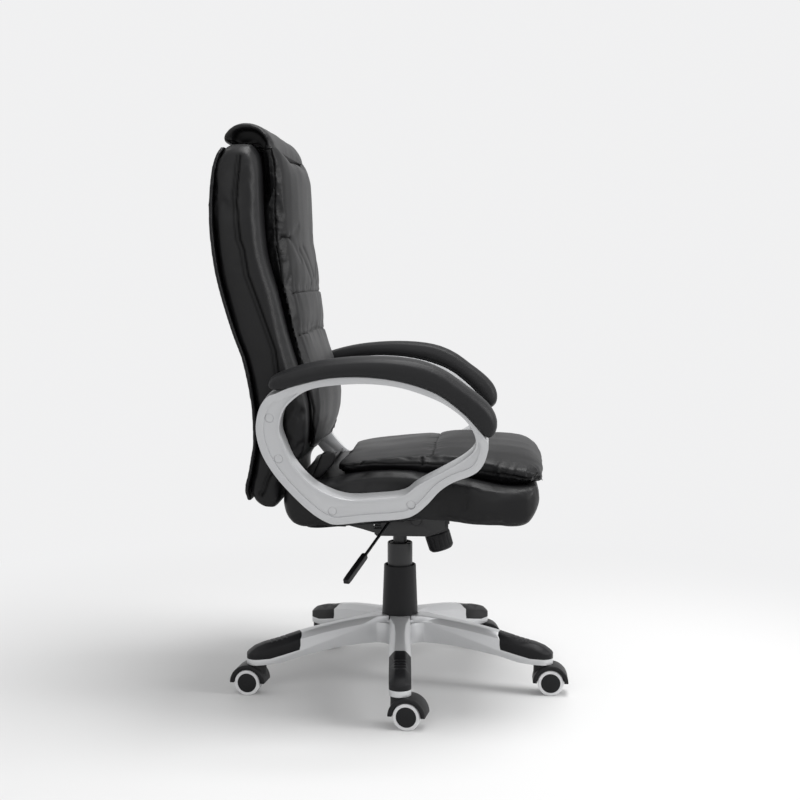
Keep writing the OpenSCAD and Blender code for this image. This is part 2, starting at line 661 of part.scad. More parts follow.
// Along the tension bolt: z = 0 is the knob's top
module on_knob_axis() {
  translate([0, -knob_top[0], knob_top[1]]) rotate([-knob_tilt, 0, 0]) children();
}
module mechanism_housing() {
  floor_front = 50;
  floor_rear = -48;
  r = cylinder_d / 2;
  wall = [[floor_rear + 4, housing_z], [floor_front + 8, housing_z], [98, housing_z + 13],
    [98, 337], [72, 337], [50, 335], [46, 344], [pivot[0], pivot[1] + pin_d / 2 + 6],
    [20, 345], [-20, rod_axis[1] + 4], [floor_rear, 328], [floor_rear, housing_z + 4]];
  color([0.1, 0.1, 0.11]) difference() {
    union() {
      translate([-housing_out, -floor_front, housing_z])
        cube([2 * housing_out, floor_front - floor_rear - 4, housing_t]);
      for (x = [-housing_out, housing_out - housing_t]) across(x, x + housing_t) polygon(wall);
      translate([-housing_out, -floor_rear - housing_t - 1, housing_z + housing_t - 1])
        cube([2 * housing_out, housing_t + 1, 9]);
      on_knob_axis() translate([-housing_out, -24, bridge_up])
        cube([2 * housing_out, 44, bridge_t]);
      translate([0, 0, housing_z]) cylinder(r = r + socket_wall, h = taper_top - housing_z);
    }
    rotate_extrude() polygon([[0, housing_z - over], [r + run_gap / 2, housing_z - over],
      [taper_r(housing_z) + run_gap / 2, housing_z], [taper_r(taper_top) + run_gap / 2, taper_top],
      [taper_r(taper_top) + run_gap / 2, taper_top + over], [0, taper_top + over]]);
    at_pivot() cylinder(d = pin_d, h = 3 * housing_in_w, center = true);
    at_rod_axis() cylinder(d = lever_d + 2 * run_gap, h = 3 * housing_in_w, center = true);
    translate([-2 * housing_out, -lock_mid - lock_w / 2 - run_gap, lock_z - lock_t / 2 - run_gap])
      cube([2 * housing_out, lock_w + 2 * run_gap, lock_t + 2 * run_gap]);
    on_knob_axis() translate([0, -2, bridge_up - over])
      linear_extrude(bridge_t + 2 * over) plate_2d((bolt_d + 3) / 2, -8, 8, (bolt_d + 3) / 2 - 0.01);
  }
}
// Rectangle from -w to w and from y0 to y1, with round corners
module plate_2d(w, y0, y1, r) {
  translate([-w, y0 + r]) square([2 * w, y1 - y0 - 2 * r]);
  translate([-w + r, y0]) square([2 * (w - r), y1 - y0]);
  for (x = [-w + r, w - r], y = [y0 + r, y1 - r]) translate([x, y]) circle(r = r);
}
function taper_r(z) = cylinder_d / 2 - taper_drop * (z - taper_foot) / (taper_top - taper_foot);
module tilt_pin() {
  r = pin_d / 2;
  half = rail_x + rail_t + 4;
  head = 3;
  color([0.6, 0.61, 0.62]) at_pivot() rotate_extrude() polygon([[0, -half - head],
    [r + 2, -half - head], [r + 3, -half - head + 1], [r + 3, -half], [r, -half], [r, half],
    [r + 3, half], [r + 3, half + head - 1], [r + 2, half + head], [0, half + head]]);
}
module tilt_bushes() {
  flange = 2.5;
  color([0.85, 0.85, 0.82]) at_pivot() for (s = [0, 1]) mirror([0, 0, s]) difference() {
    union() {
      translate([0, 0, housing_out + 0.3]) cylinder(d = pin_d + 2 * bush_wall + 6, h = rail_gap - 0.3);
      translate([0, 0, rail_x]) cylinder(d = pin_d + 2 * bush_wall, h = rail_t + 3);
    }
    cylinder(d = pin_d + 2 * run_gap, h = 2 * rail_x);
  }
}
module lock_plate() {
  lug_r = 5.5;
  tip_x = -housing_out + 1;
  color([0.55, 0.56, 0.57]) difference() {
    union() {
      translate([tip_x, -lock_mid - lock_w / 2, lock_z - lock_t / 2]) cube([50, lock_w, lock_t]);
      across(lug_x, lug_x + lug_plate_t) {
        polygon([[lock_mid + 2, lock_z - lock_t / 2], [lock_mid + lock_w / 2, lock_z - lock_t / 2],
          rod_axis + [1, -lug_r], rod_axis + [-lug_r + 1, 4], [lock_mid + 2, lock_z + lock_t + 4]]);
        translate(rod_axis) circle(r = lug_r);
      }
    }
    at_rod_axis() cylinder(d = lever_d + 2 * run_gap, h = 200, center = true);
  }
}
module lever_rod() {
  start = [51, -rod_axis[0], rod_axis[1]];
  collar_t = 2;
  color([0.12, 0.12, 0.13]) union() {
    rod(start, lever_bend, lever_d);
    translate(lever_bend) sphere(d = lever_d);
    rod(lever_bend, lever_end - unit(lever_end - lever_bend) * 25, lever_d);
    for (x = [lug_x - 0.2 - collar_t, lug_x + lug_plate_t + 0.2])
      translate([x, 0, 0]) at_rod_axis() cylinder(d = lever_d + 4, h = collar_t);
    across(-6, 18) {
      polygon([rod_axis + [0, -2], [-5, pin_top + 1.2], [0, pin_top + 1], [0, pin_top + 6],
        rod_axis + [0, 3]]);
      translate([0, pin_top + 3]) circle(r = 3);
    }
  }
}
module lever_grip() {
  v = lever_end - lever_bend;
  half = grip_w / 2;
  thick = grip_t / 2;
  plan = [[0.7, 0], [0.95, 0.1], [1, 0.4], [1, 0.85], [0.95, 0.98], [0.8, 1],
    [-0.8, 1], [-0.95, 0.98], [-1, 0.85], [-1, 0.4], [-0.95, 0.1], [-0.7, 0]];
  side = [[0.85, 0], [1, 0.2], [1, 0.8], [0.9, 0.97], [0.7, 1], [-0.7, 1], [-0.9, 0.97],
    [-1, 0.8], [-1, 0.2], [-0.85, 0]];
  color([0.08, 0.08, 0.09]) translate(lever_end)
    rotate([0, acos(v[2] / norm(v)), atan2(v[1], v[0])]) translate([0, 0, -grip_l]) difference() {
      intersection() {
        rotate([90, 0, 90]) linear_extrude(2 * grip_t, center = true)
          polygon([for (p = smooth(plan, 3)) [p[0] * half, p[1] * grip_l]]);
        rotate([90, 0, 0]) linear_extrude(2 * grip_w, center = true)
          polygon([for (p = smooth(side, 3)) [p[0] * thick, p[1] * grip_l]]);
      }
      translate([0, 0, -over - 2]) cylinder(d = lever_d, h = grip_l - 25 + over + 2);
    }
}
module tension_knob() {
  r = knob_d / 2;
  flute_r = 4;
  flutes = 16;
  dome = 5;
  color([0.09, 0.09, 0.1]) on_knob_axis() difference() {
    rotate_extrude() polygon([[0, -knob_l], [r * 0.5, -knob_l + 0.6], [r * 0.8, -knob_l + 2],
      [r - 2, -knob_l + dome], [r - 0.6, -knob_l + dome + 3], [r, -3], [r - 1, 0], [r - 4.5, 0],
      [r - 4.5, -cup_depth], [0, -cup_depth]]);
    translate([0, 0, -knob_l + 8]) cylinder(d = bolt_d, h = knob_l);
    for (k = [0:flutes - 1]) rotate([0, 0, 360 * k / flutes])
      translate([r + flute_r - 1.2, 0, -knob_l - over]) cylinder(r = flute_r, h = knob_l - 6);
  }
}
module tension_bolt() {
  head = 6;
  color([0.6, 0.61, 0.62]) on_knob_axis() union() {
    translate([0, 0, -knob_l + 8]) cylinder(d = bolt_d, h = knob_l - 8 + lug_up + lug_t);
    translate([0, 0, lug_up + lug_t]) cylinder(d = bolt_d + 7, h = head, $fn = 6);
  }
}
// Points of the spring's centre line, and the rings of its wire
spring_r = 14.75;
spring_foot = -cup_depth + wire_d / 2 + seat_gap;
spring_head = bridge_up - wire_d / 2 - seat_gap;
function spring_pt(k) = [spring_r * cos(360 * k), spring_r * sin(360 * k),
  spring_foot + (spring_head - spring_foot) * k / spring_turns];
module tension_spring() {
  steps = 10;
  n = 6;
  rings = [for (j = [0:spring_turns * steps]) let (k = j / steps, a = 360 * k, p = spring_pt(k))
    [for (i = [0:n - 1]) let (b = -360 * i / n, q = wire_d / 2 * cos(b))
      p + [q * cos(a), q * sin(a), -wire_d / 2 * sin(b)]]];
  gap = min([for (j = [0:steps - 1]) norm(spring_pt(1 + j / steps) - spring_pt(j / steps))]) - wire_d;
  echo(least_gap_between_turns = gap);
  color([0.5, 0.5, 0.52]) on_knob_axis() loft(rings);
}
module seat_plate() {
  rail_floor = [[-105, 324], [-70, 315], [-50, 309], [-30, 306], [50, 306], [72, 309], [92, 318]];
  rail = concat([[-105, under_plate(-105) + 1]], rail_floor, [[92, under_plate(92) + 1]]);
  front_y = -(92 - plane_ref[0]);
  rear_y = 105 + plane_ref[0];
  half = rail_x + rail_t;
  color([0.12, 0.12, 0.13]) difference() {
    union() {
      seat_plane() translate([0, 0, -plate_t]) linear_extrude(plate_t) difference() {
        union() {
          translate([-half, front_y]) square([2 * half, rear_y - front_y]);
          for (f = plate_bolts_f, s = [-1, 1]) let (y = plane_ref[0] - f) {
            polygon([[s * (half - 1), y - 22], [s * plate_bolts_x, y - 13],
              [s * plate_bolts_x, y + 13], [s * (half - 1), y + 22]]);
            translate([s * plate_bolts_x, y]) circle(r = 13);
          }
        }
        for (f = plate_bolts_f, s = [-1, 1]) translate([s * plate_bolts_x, plane_ref[0] - f])
          circle(d = plate_bolt_d + 2 * seat_gap);
        translate([0, plane_ref[0]]) circle(r = 14);
      }
      for (x = [-half, rail_x]) across(x, x + rail_t) polygon(rail);
      on_knob_axis() translate([-half, -lug_w / 2, lug_up]) cube([2 * half, lug_w, lug_t]);
    }
    at_pivot() cylinder(d = pin_d + 2 * bush_wall, h = 4 * rail_x, center = true);
    across(-2 * half, 2 * half) polygon([[-20, 332], [-8, 332], [-7, 352], [-19, 352]]);
    on_knob_axis() translate([0, 0, lug_up - over])
      cylinder(d = bolt_d + 2 * run_gap, h = lug_t + 2 * over);
    for (k = [0:lock_steps]) across(-half - over, -rail_x + over)
      translate(pivot) rotate(-k * lock_step) translate([lock_mid, lock_z] - pivot)
        square([lock_w + 0.6, lock_t + 0.6], center = true);
  }
}
module at_plate_bolts() {
  seat_plane() for (f = plate_bolts_f, s = [-1, 1])
    translate([s * plate_bolts_x, plane_ref[0] - f, 0]) children();
}
module plate_bolts() {
  head = 3.5;
  color([0.6, 0.61, 0.62]) at_plate_bolts() union() {
    translate([0, 0, -plate_t - head]) cylinder(d = plate_bolt_d + 5, h = head, $fn = 6);
    translate([0, 0, -plate_t]) cylinder(d = plate_bolt_d, h = plate_t + board_t - 1);
  }
}

// Seat
module seat_bolt_bores(d) {
  for (s = [-1, 1]) arm_plane(s) for (p = concat(seat_bolts, back_bolts))
    translate([p[0], p[1], -over]) cylinder(d = d, h = arm_bolt_l - arm_t + hollow_depth + plug_t + head_t + 2);
}
module seat_board() {
  color([0.72, 0.58, 0.4]) difference() {
    seat_board_shape(0);
    seat_bolt_bores(arm_bolt_d);
    at_plate_bolts() translate([0, 0, -over]) cylinder(d = plate_bolt_d, h = board_t + over - 1 + 0.5);
  }
}
module seat_board_shape(grown) {
  seat_plane() {
    translate([0, 0, -grown]) linear_extrude(board_t + 2 * grown)
      plate_2d(board_half + grown, board_y[0] - grown, board_y[1] + grown, 40);
    for (x = [-board_half, board_half - rail_half_w])
      translate([x - grown, rail_y[0] - grown, board_t - over])
        cube([rail_half_w + 2 * grown, rail_y[1] - rail_y[0] + 2 * grown, seat_rail_h + over + grown]);
  }
}
function box_w(f, z) = at(box_half, f)
  + (z - arm_ref_z) * tan(arm_lean) * min(1, max(0, (150 - f) / 55));
function box_ring(f) =
  let (lo = at(seat_floor, f), hi = at(seat_joint, f), h = hi - lo,
    right = [[-16, 0], [-3, 0.1], [0, 0.3], [0, 0.75], [-4, 0.93], [-18, 1]])
  let (pts = [for (p = right) let (z = lo + p[1] * h) [box_w(f, z) + p[0], z]])
  concat([for (p = pts) [-p[0], p[1]]], [for (i = [5:-1:0]) pts[i]]);
module seat_cushion() {
  color([0.07, 0.07, 0.08]) difference() {
    loft([for (f = seat_stations) if (f <= box_front) [for (p = box_ring(f)) [p[0], -f, p[1]]]]);
    seat_board_shape(0);
    seat_plane() translate([0, 0, -60]) linear_extrude(61)
      plate_2d(board_half - 12, board_y[0] + 12, board_y[1] - 12, 30);
    seat_bolt_bores(arm_bolt_d + 1);
  }
}
// How full a pillow is at a share t of its half width
function fullness(t) = (1 - t ^ 2.8) ^ 0.8;
function dip(x, centre, width) = exp(-((x - centre) / width) ^ 2);
function pillow_ring(f) =
  let (w = at(pillow_half, f), lo = at(seat_joint, f) + soft_gap, seam = at(pillow_seam, f),
    hi = at(pillow_crest, f) - seat_channel * dip(f, cross_seam_f, 6),
    side = [[-12, 0], [-2, 0.35], [0, 0.7], [-2, 1]],
    right = [for (p = side) [w + p[0], lo + p[1] * (seam - lo)]],
    top = [for (t = [0.95, 0.85, 0.7, 0.5, 0.25]) [w * t, seam + (hi - seam) * fullness(t)]],
    half = concat(right, top))
  concat([for (p = half) [-p[0], p[1]]], [[0, hi]], [for (i = [len(half) - 1:-1:0]) half[i]]);
module seat_pillow() {
  color([0.07, 0.07, 0.08]) loft([for (f = seat_stations) if (f >= pillow_rear) [for (p = pillow_ring(f)) [p[0], -f, p[1]]]]);
}
module back_flap() {
  front = [-137, at(seat_joint, -137) + soft_gap];
  rear = [-152, at(seat_joint, -152) + soft_gap];
  color([0.07, 0.07, 0.08]) loft([for (e = flap_rise)
    let (line = concat([front], [for (p = flap_line) front + [-5, 0] + (p - front - [-5, 0]) * e[1]], [rear]))
    [for (i = [len(line) - 1:-1:0]) [e[0] * flap_half / 205, -line[i][0], line[i][1]]]]);
}

// Back
module front_view(outline) {
  translate([0, 500, 0]) rotate([90, 0, 0]) linear_extrude(1000)
    polygon(concat(outline, [for (i = [len(outline) - 1:-1:0]) [-outline[i][0], outline[i][1]]]));
}
module back_board_shape(grown) {
  zs = [for (k = [0:16]) 410 + (1030 - 410) * k / 16];
  half_t = back_board_t / 2 + grown;
  rail_z = [for (k = [0:6]) back_rail_z[0] + (back_rail_z[1] - back_rail_z[0]) * k / 6];
  half_rail = back_rail_t / 2 + grown;
  intersection() {
    across(-300, 300) polygon(concat([for (z = zs) [at(board_line, z) + half_t, z]],
      [for (i = [len(zs) - 1:-1:0]) [at(board_line, zs[i]) - half_t, zs[i]]]));
    front_view([[180 + grown, 410 - grown], [205 + grown, 440], [back_rail_x[1] + grown, 470],
      [back_rail_x[1] + grown, 930], [210 + grown, 1000], [160 + grown, 1030 + grown]]);
  }
  for (s = [0, 1]) mirror([s, 0, 0]) across(back_rail_x[0] - grown, back_rail_x[1] + grown)
    polygon(concat([for (z = rail_z) [at(board_line, z) + half_rail, z]],
      [for (i = [6:-1:0]) [at(board_line, rail_z[i]) - half_rail, rail_z[i]]]));
}
module back_board() {
  color([0.72, 0.58, 0.4]) difference() {
    back_board_shape(0);
    seat_bolt_bores(arm_bolt_d);
  }
}
function back_box_ring(z) =
  let (w = at(back_half_at, z), lo = at(back_rear, z) + rear_cover_t + seat_gap,
    hi = at(back_joint, z), d = hi - lo,
    right = [[-12, 0], [-2, 0.12], [0, 0.35], [0, 0.65], [-3, 0.86], [-12, 0.97], [-28, 1]],
    pts = [for (p = right) [w + p[0], lo + p[1] * d]])
  concat(pts, [for (i = [6:-1:0]) [-pts[i][0], pts[i][1]]]);
module back_cushion() {
  color([0.07, 0.07, 0.08]) difference() {
    loft([for (z = back_stations) [for (p = back_box_ring(z)) [p[0], -p[1], z]]]);
    back_board_shape(0);
    seat_bolt_bores(arm_bolt_d + 1);
  }
}
function channel_depth_at(z) =
  channel_depth * max([for (c = channels) c[1] * dip(z, c[0], 8)]);
function back_pillow_ring(z) =
  let (w = back_pillow_half * at(pillow_half_at, z), lo = at(back_joint, z) + soft_gap,
    seam = at(pillow_side, z), hi = at(pillow_front, z) - channel_depth_at(z),
    side = [[-14, 0], [-2, 0.35], [0, 0.7], [-1.5, 1]],
    right = [for (p = side) [w + p[0], lo + p[1] * (seam - lo)]],
    front = [for (t = [0.95, 0.86, 0.72, 0.5, 0.25]) [w * t, seam + (hi - seam) * fullness(t)]],
    half = concat(right, front))
  concat(half, [[0, hi]], [for (i = [len(half) - 1:-1:0]) [-half[i][0], half[i][1]]]);
module back_pillow() {
  color([0.07, 0.07, 0.08]) loft([for (z = back_stations) if (z >= back_pillow_z[0] && z <= back_pillow_z[1])
    [for (p = back_pillow_ring(z)) [p[0], -p[1], z]]]);
}
module head_crown() {
  box_top = back_top + soft_gap;
  pillow_top = back_pillow_z[1] + 2 * soft_gap;
  lip_f = -238;          // in front of this the crown reaches down to the pillow
  anchor = [-262, box_top];
  line = concat(smooth_line(crown_line, 2), [[-306, box_top], [lip_f, box_top], [lip_f + 2, pillow_top]]);
  // Share of the half length against the share of the full section
  end = [[0, 1], [0.5, 1], [0.8, 0.99], [0.93, 0.965], [0.98, 0.92], [1, 0.85]];
  stations = concat([for (i = [len(end) - 1:-1:1]) [-end[i][0], end[i][1]]], end);
  color([0.07, 0.07, 0.08]) loft([for (e = stations)
    [for (i = [len(line) - 1:-1:0]) let (p = line[i], q = anchor + (p - anchor) * e[1])
      [e[0] * crown_half, -q[0], max(q[1], p[0] > lip_f ? pillow_top : box_top)]]]);
}
module rear_cover() {
  zs = [for (z = back_stations) if (z >= cover_z[0] && z <= cover_z[1]) z];
  color([0.08, 0.08, 0.09]) intersection() {
    across(-300, 300) polygon(concat([for (z = zs) [at(back_rear, z) + rear_cover_t, z]],
      [for (i = [len(zs) - 1:-1:0]) [at(back_rear, zs[i]), zs[i]]]));
    front_view([for (z = zs) [at(back_half_at, z) - 6, z]]);
  }
}

// Arms
module arm_frame(side) {
  outer = smooth(arm_outer, arm_points);
  inner = smooth(arm_inner, arm_points);
  color([0.78, 0.79, 0.8]) arm_plane(side) difference() {
    translate([0, 0, -arm_t]) linear_extrude(arm_t) difference() {
      polygon(outer);
      polygon(inner);
    }
    translate([0, 0, -arm_t - over]) linear_extrude(hollow_depth + over) difference() {
      polygon(grow(outer, band_w));
      polygon(grow(inner, lip_w));
    }
    for (p = concat(seat_bolts, back_bolts)) translate([p[0], p[1], -arm_t - over]) {
      cylinder(d = arm_bolt_d + 2 * seat_gap, h = arm_t + 2 * over);
      cylinder(d = plug_d, h = hollow_depth + plug_t + head_t + over);
    }
  }
}
module arm_pad(side) {
  middle = -arm_t / 2 - pad_shift;
  share = [[0, 0.5], [1, 0.74], [2, 0.92], [4, 1], [11, 1], [13, 0.95], [14, 0.87], [15, 0.75], [16, 0.5]];
  section = [[-0.62, 0], [-0.9, 0.12], [-1, 0.42], [-0.88, 0.78], [-0.5, 0.96], [0, 1],
    [0.5, 0.96], [0.88, 0.78], [1, 0.42], [0.9, 0.12], [0.62, 0]];
  per = 2;
  foot = smooth_line(pad_foot, per);
  crest = smooth_line(pad_crest, per);
  rings = [for (i = [0:len(foot) - 1]) let (half = pad_w / 2 * at(share, i / per))
    [for (s = section) let (p = foot[i] + (crest[i] - foot[i]) * s[1]) [p[0], p[1], middle - s[0] * half]]];
  color([0.07, 0.07, 0.08]) arm_plane(side) difference() {
    loft(rings);
    translate([0, 0, -2 * arm_t]) linear_extrude(3 * arm_t) polygon(smooth(arm_outer, arm_points));
  }
}
module at_arm_bolts() {
  for (s = [-1, 1]) arm_plane(s) for (p = concat(seat_bolts, back_bolts))
    translate([p[0], p[1], -arm_t + hollow_depth + plug_t]) children();
}
module arm_bolts() {
  color([0.6, 0.61, 0.62]) at_arm_bolts() difference() {
    union() {
      cylinder(d = head_d, h = head_t);
      cylinder(d = arm_bolt_d, h = head_t + arm_bolt_l);
    }
    translate([0, 0, -over]) cylinder(d = 6, h = 3 + over, $fn = 6);
  }
}
module bolt_plugs() {
  color([0.6, 0.61, 0.62]) at_arm_bolts() translate([0, 0, -plug_t]) union() {
    cylinder(d1 = plug_d - 2, d2 = plug_d, h = 0.8);
    translate([0, 0, 0.8]) cylinder(d = plug_d, h = plug_t - 0.8);
  }
}

star_base();
foot_caps();
column_cover();
gas_tube();
guide_bush();
piston_rod();
thrust_bearing();
retaining_clip();
gas_cylinder();
mechanism_housing();
tilt_pin();
release_pin();
lock_plate();
lever_rod();
lever_grip();
tension_knob();
tension_bolt();
tension_spring();
seat_plate();
tilt_bushes();
plate_bolts();
seat_board();
seat_cushion();
seat_pillow();
back_board();
back_cushion();
back_pillow();
head_crown();
rear_cover();
back_flap();
arm_frame(1);  // arm_frame_left
arm_frame(-1);  // arm_frame_right
arm_pad(1);  // arm_pad_left
arm_pad(-1);  // arm_pad_right
arm_bolts();
bolt_plugs();
caster_hood(0);  // caster_hood_1
caster_hood(1);  // caster_hood_2
caster_hood(2);  // caster_hood_3
caster_hood(3);  // caster_hood_4
caster_hood(4);  // caster_hood_5
caster_pins(0);  // caster_pins_1
caster_pins(1);  // caster_pins_2
caster_pins(2);  // caster_pins_3
caster_pins(3);  // caster_pins_4
caster_pins(4);  // caster_pins_5
wheel(0, 1);  // wheel_outer_1
wheel(1, 1);  // wheel_outer_2
wheel(2, 1);  // wheel_outer_3
wheel(3, 1);  // wheel_outer_4
wheel(4, 1);  // wheel_outer_5
wheel(0, -1);  // wheel_inner_1
wheel(1, -1);  // wheel_inner_2
wheel(2, -1);  // wheel_inner_3
wheel(3, -1);  // wheel_inner_4
wheel(4, -1);  // wheel_inner_5
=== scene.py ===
# %% [markdown]
# # Office chair
# A high-backed office chair on five casters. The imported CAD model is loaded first, as a fixed
# frame: it says where every piece is and what moves with what. This script only dresses it, so each
# piece that we make here starts from a CAD node or is placed on one.

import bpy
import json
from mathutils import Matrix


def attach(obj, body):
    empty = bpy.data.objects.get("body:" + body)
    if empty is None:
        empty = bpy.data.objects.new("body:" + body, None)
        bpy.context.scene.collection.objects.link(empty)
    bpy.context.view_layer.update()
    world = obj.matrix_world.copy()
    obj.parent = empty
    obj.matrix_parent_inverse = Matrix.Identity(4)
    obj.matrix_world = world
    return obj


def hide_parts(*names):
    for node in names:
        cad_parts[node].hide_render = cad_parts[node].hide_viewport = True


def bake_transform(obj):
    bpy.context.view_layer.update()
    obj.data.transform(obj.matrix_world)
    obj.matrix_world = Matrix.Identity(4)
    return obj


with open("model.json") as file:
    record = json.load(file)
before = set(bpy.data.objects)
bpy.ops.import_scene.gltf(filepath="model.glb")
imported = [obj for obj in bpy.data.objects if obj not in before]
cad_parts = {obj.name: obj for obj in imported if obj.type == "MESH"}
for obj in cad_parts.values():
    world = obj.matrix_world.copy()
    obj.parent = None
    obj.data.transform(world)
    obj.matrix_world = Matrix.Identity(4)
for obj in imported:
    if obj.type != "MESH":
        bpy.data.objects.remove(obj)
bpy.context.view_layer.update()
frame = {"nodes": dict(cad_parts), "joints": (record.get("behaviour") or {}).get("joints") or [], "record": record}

# %% [markdown]
# ## Imports
# The meshes are edited with `bmesh`, moved as arrays with `numpy`, and measured with `mathutils`.
# All the lengths here are in metres; `MM` turns the millimetres of a drawing into them.

# %% Imports
import json
from math import radians

import bmesh
import bpy
import numpy as np
from mathutils import Vector, noise
from mathutils.bvhtree import BVHTree
from mathutils.kdtree import KDTree

scene = bpy.context.scene
MM = 0.001

# %% [markdown]
# ## Camera
# The picture was taken square to the chair's right side, from a little in front of it and from a
# little above the arm pads. From 2.7 metres away, with a lens that is long enough to fill the
# picture with it, both arms keep nearly the same size. A camera could be turned by three angles,
# but a point and a target are easier to read, and `aim` turns them into the angles.

# %% Camera
LENS_MM, SENSOR_MM = 60.67, 36
CAMERA_AT = Vector((-2.661, -0.191, 0.806))
LOOKS_AT = Vector((0, 0, 0.567))


def aim(at, target):
    """The turn that points a camera or a lamp at a target."""
    return (Vector(target) - Vector(at)).to_track_quat("-Z", "Y").to_euler()


camera = bpy.data.objects.new("camera", bpy.data.cameras.new("camera"))
camera.data.sensor_width = SENSOR_MM
camera.data.lens = LENS_MM
camera.location = CAMERA_AT
camera.rotation_euler = aim(CAMERA_AT, LOOKS_AT)
scene.collection.objects.link(camera)
scene.camera = camera
scene.view_settings.view_transform = "Standard"
print("camera is", round((LOOKS_AT - CAMERA_AT).length, 2), "m from its target")

# %% [markdown]
# ## Small helpers for materials
# A finish is a Principled shader with a little procedural noise in its roughness and its bump. The
# nodes could be wired one by one for each material, but it is shorter to have a few helpers, and to
# give each finish its own numbers. A texture's scale is about how many of its cells fit in a metre.

# %% Material helpers
def principled(made):
    return made.node_tree.nodes["Principled BSDF"]


def finish(name, colour, roughness, metallic=0.0, **sockets):
    """A new material with a Principled shader; colour and roughness may be varied afterwards."""
    made = bpy.data.materials.new(name)
    made.use_nodes = True
    shader = principled(made)
    shader.inputs["Base Color"].default_value = (*colour, 1)
    shader.inputs["Roughness"].default_value = roughness
    shader.inputs["Metallic"].default_value = metallic
    for socket, value in sockets.items():
        shader.inputs[socket.replace("_", " ")].default_value = value
    made.diffuse_color = (*colour, 1)
    return made


def node_in(made, kind, **values):
    """Adds a node to a material; a value goes to the node's property or to its socket."""
    node = made.node_tree.nodes.new(kind)
    for key, value in values.items():
        if hasattr(node, key):
            setattr(node, key, value)
        else:
            node.inputs[key.replace("_", " ")].default_value = value
    return node


def wire(made, source, target):
    made.node_tree.links.new(source, target)


def pattern(made, kind, scale, stretch=(1, 1, 1), **values):
    """A texture node that reads Object coordinates, so it is fixed to the piece."""
    place = node_in(made, "ShaderNodeTexCoord")
    stretched = node_in(made, "ShaderNodeMapping")
    stretched.inputs["Scale"].default_value = stretch
    wire(made, place.outputs["Object"], stretched.inputs["Vector"])
    texture = node_in(made, kind, Scale=scale, **values)
    wire(made, stretched.outputs["Vector"], texture.inputs["Vector"])
    return texture


# %% [markdown]
# ## Varying a finish
# Nothing real has one colour and one gloss all over. A texture gives a number from 0 to 1 at each
# point. We map it to a range of roughness, or let it blend two colours. Grain could be real bumps
# in the mesh, but at a millimetre it would need millions of faces, so it is a bump in the shading.

# %% Varying a finish
def spread(made, source, low, high):
    """Maps a texture's 0 to 1 onto low to high."""
    ramp = node_in(made, "ShaderNodeMapRange")
    ramp.inputs["To Min"].default_value = low
    ramp.inputs["To Max"].default_value = high
    wire(made, source, ramp.inputs["Value"])
    return ramp.outputs["Result"]


def vary_roughness(made, source, low, high):
    wire(made, spread(made, source, low, high), principled(made).inputs["Roughness"])


def colour_mix(made):
    """A node that blends two colours, with its two colour inputs and its result."""
    mix = node_in(made, "ShaderNodeMix", data_type="RGBA")
    first, second = [s for s in mix.inputs if s.type == "RGBA"]
    result = [s for s in mix.outputs if s.type == "RGBA"][0]
    return mix, first, second, result


def vary_colour(made, source, low, high):
    """Blends two colours by a texture."""
    mix, first, second, result = colour_mix(made)
    first.default_value = (*low, 1)
    second.default_value = (*high, 1)
    wire(made, source, mix.inputs["Factor"])
    wire(made, result, principled(made).inputs["Base Color"])


def add_bump(made, source, strength, distance):
    """Bumps are chained: each new one is laid over the ones before."""
    shader = principled(made)
    bump = node_in(made, "ShaderNodeBump", Strength=strength, Distance=distance)
    wire(made, source, bump.inputs["Height"])
    before = shader.inputs["Normal"].links
    if before:
        wire(made, before[0].from_socket, bump.inputs["Normal"])
    wire(made, bump.outputs["Normal"], shader.inputs["Normal"])


# %% [markdown]
# ## Leather
# The cover is black coated leather. It is smooth at arm's length, with a pebbled grain about a
# millimetre across, and its gloss changes slowly where it has been pulled tight. The grain is a
# Voronoi pattern in the bump; a larger, soft noise makes the faint creases between the seams.
# Seams and sunk panels write an attribute on the mesh; there the leather is dull, with painted shade.

# %% Leather
LEATHER_GLOSS = 0.25
LEATHER_DARK, LEATHER_PALE = (0.003, 0.003, 0.0035), (0.006, 0.006, 0.0065)
# painted shade: the leather is drawn towards this near-black in seam grooves and sunk panels
SEAM_SHADE_BLACK, SEAM_SHADE_SHARE = (0.001, 0.001, 0.001), 0.95


def draw_to(made, source, colour, share):
    """Draws the base colour towards another one where the source is 1."""
    base = principled(made).inputs["Base Color"]
    mix, first, second, result = colour_mix(made)
    wire(made, base.links[0].from_socket, first)
    second.default_value = (*colour, 1)
    wire(made, spread(made, source, 0, share), mix.inputs["Factor"])
    wire(made, result, base)


def coated_leather():
    made = finish("black_leather", (0.008, 0.008, 0.009), 0.46, Specular_IOR_Level=LEATHER_GLOSS)
    cloud = pattern(made, "ShaderNodeTexNoise", 9, Detail=3)
    vary_roughness(made, cloud.outputs["Fac"], 0.38, 0.54)
    tint = pattern(made, "ShaderNodeTexNoise", 30, Detail=5)
    vary_colour(made, tint.outputs["Fac"], LEATHER_DARK, LEATHER_PALE)
    grain = pattern(made, "ShaderNodeTexVoronoi", 900, feature="SMOOTH_F1", Smoothness=0.6)
    add_bump(made, grain.outputs["Distance"], 0.25, 0.25 * MM)
    creases = pattern(made, "ShaderNodeTexNoise", 55, Detail=6, Roughness=0.6, Distortion=0.6)
    add_bump(made, creases.outputs["Fac"], 0.22, 0.9 * MM)
    # painted shade from the mesh's attribute darkens the seam grooves and the sunk panels
    sewn = node_in(made, "ShaderNodeAttribute", attribute_name="seam").outputs["Fac"]
    draw_to(made, sewn, SEAM_SHADE_BLACK, SEAM_SHADE_SHARE)
    dulled = spread(made, sewn, LEATHER_GLOSS, 0.0)
    wire(made, dulled, principled(made).inputs["Specular IOR Level"])
    return made


leather = coated_leather()
print("leather nodes:", len(leather.node_tree.nodes))

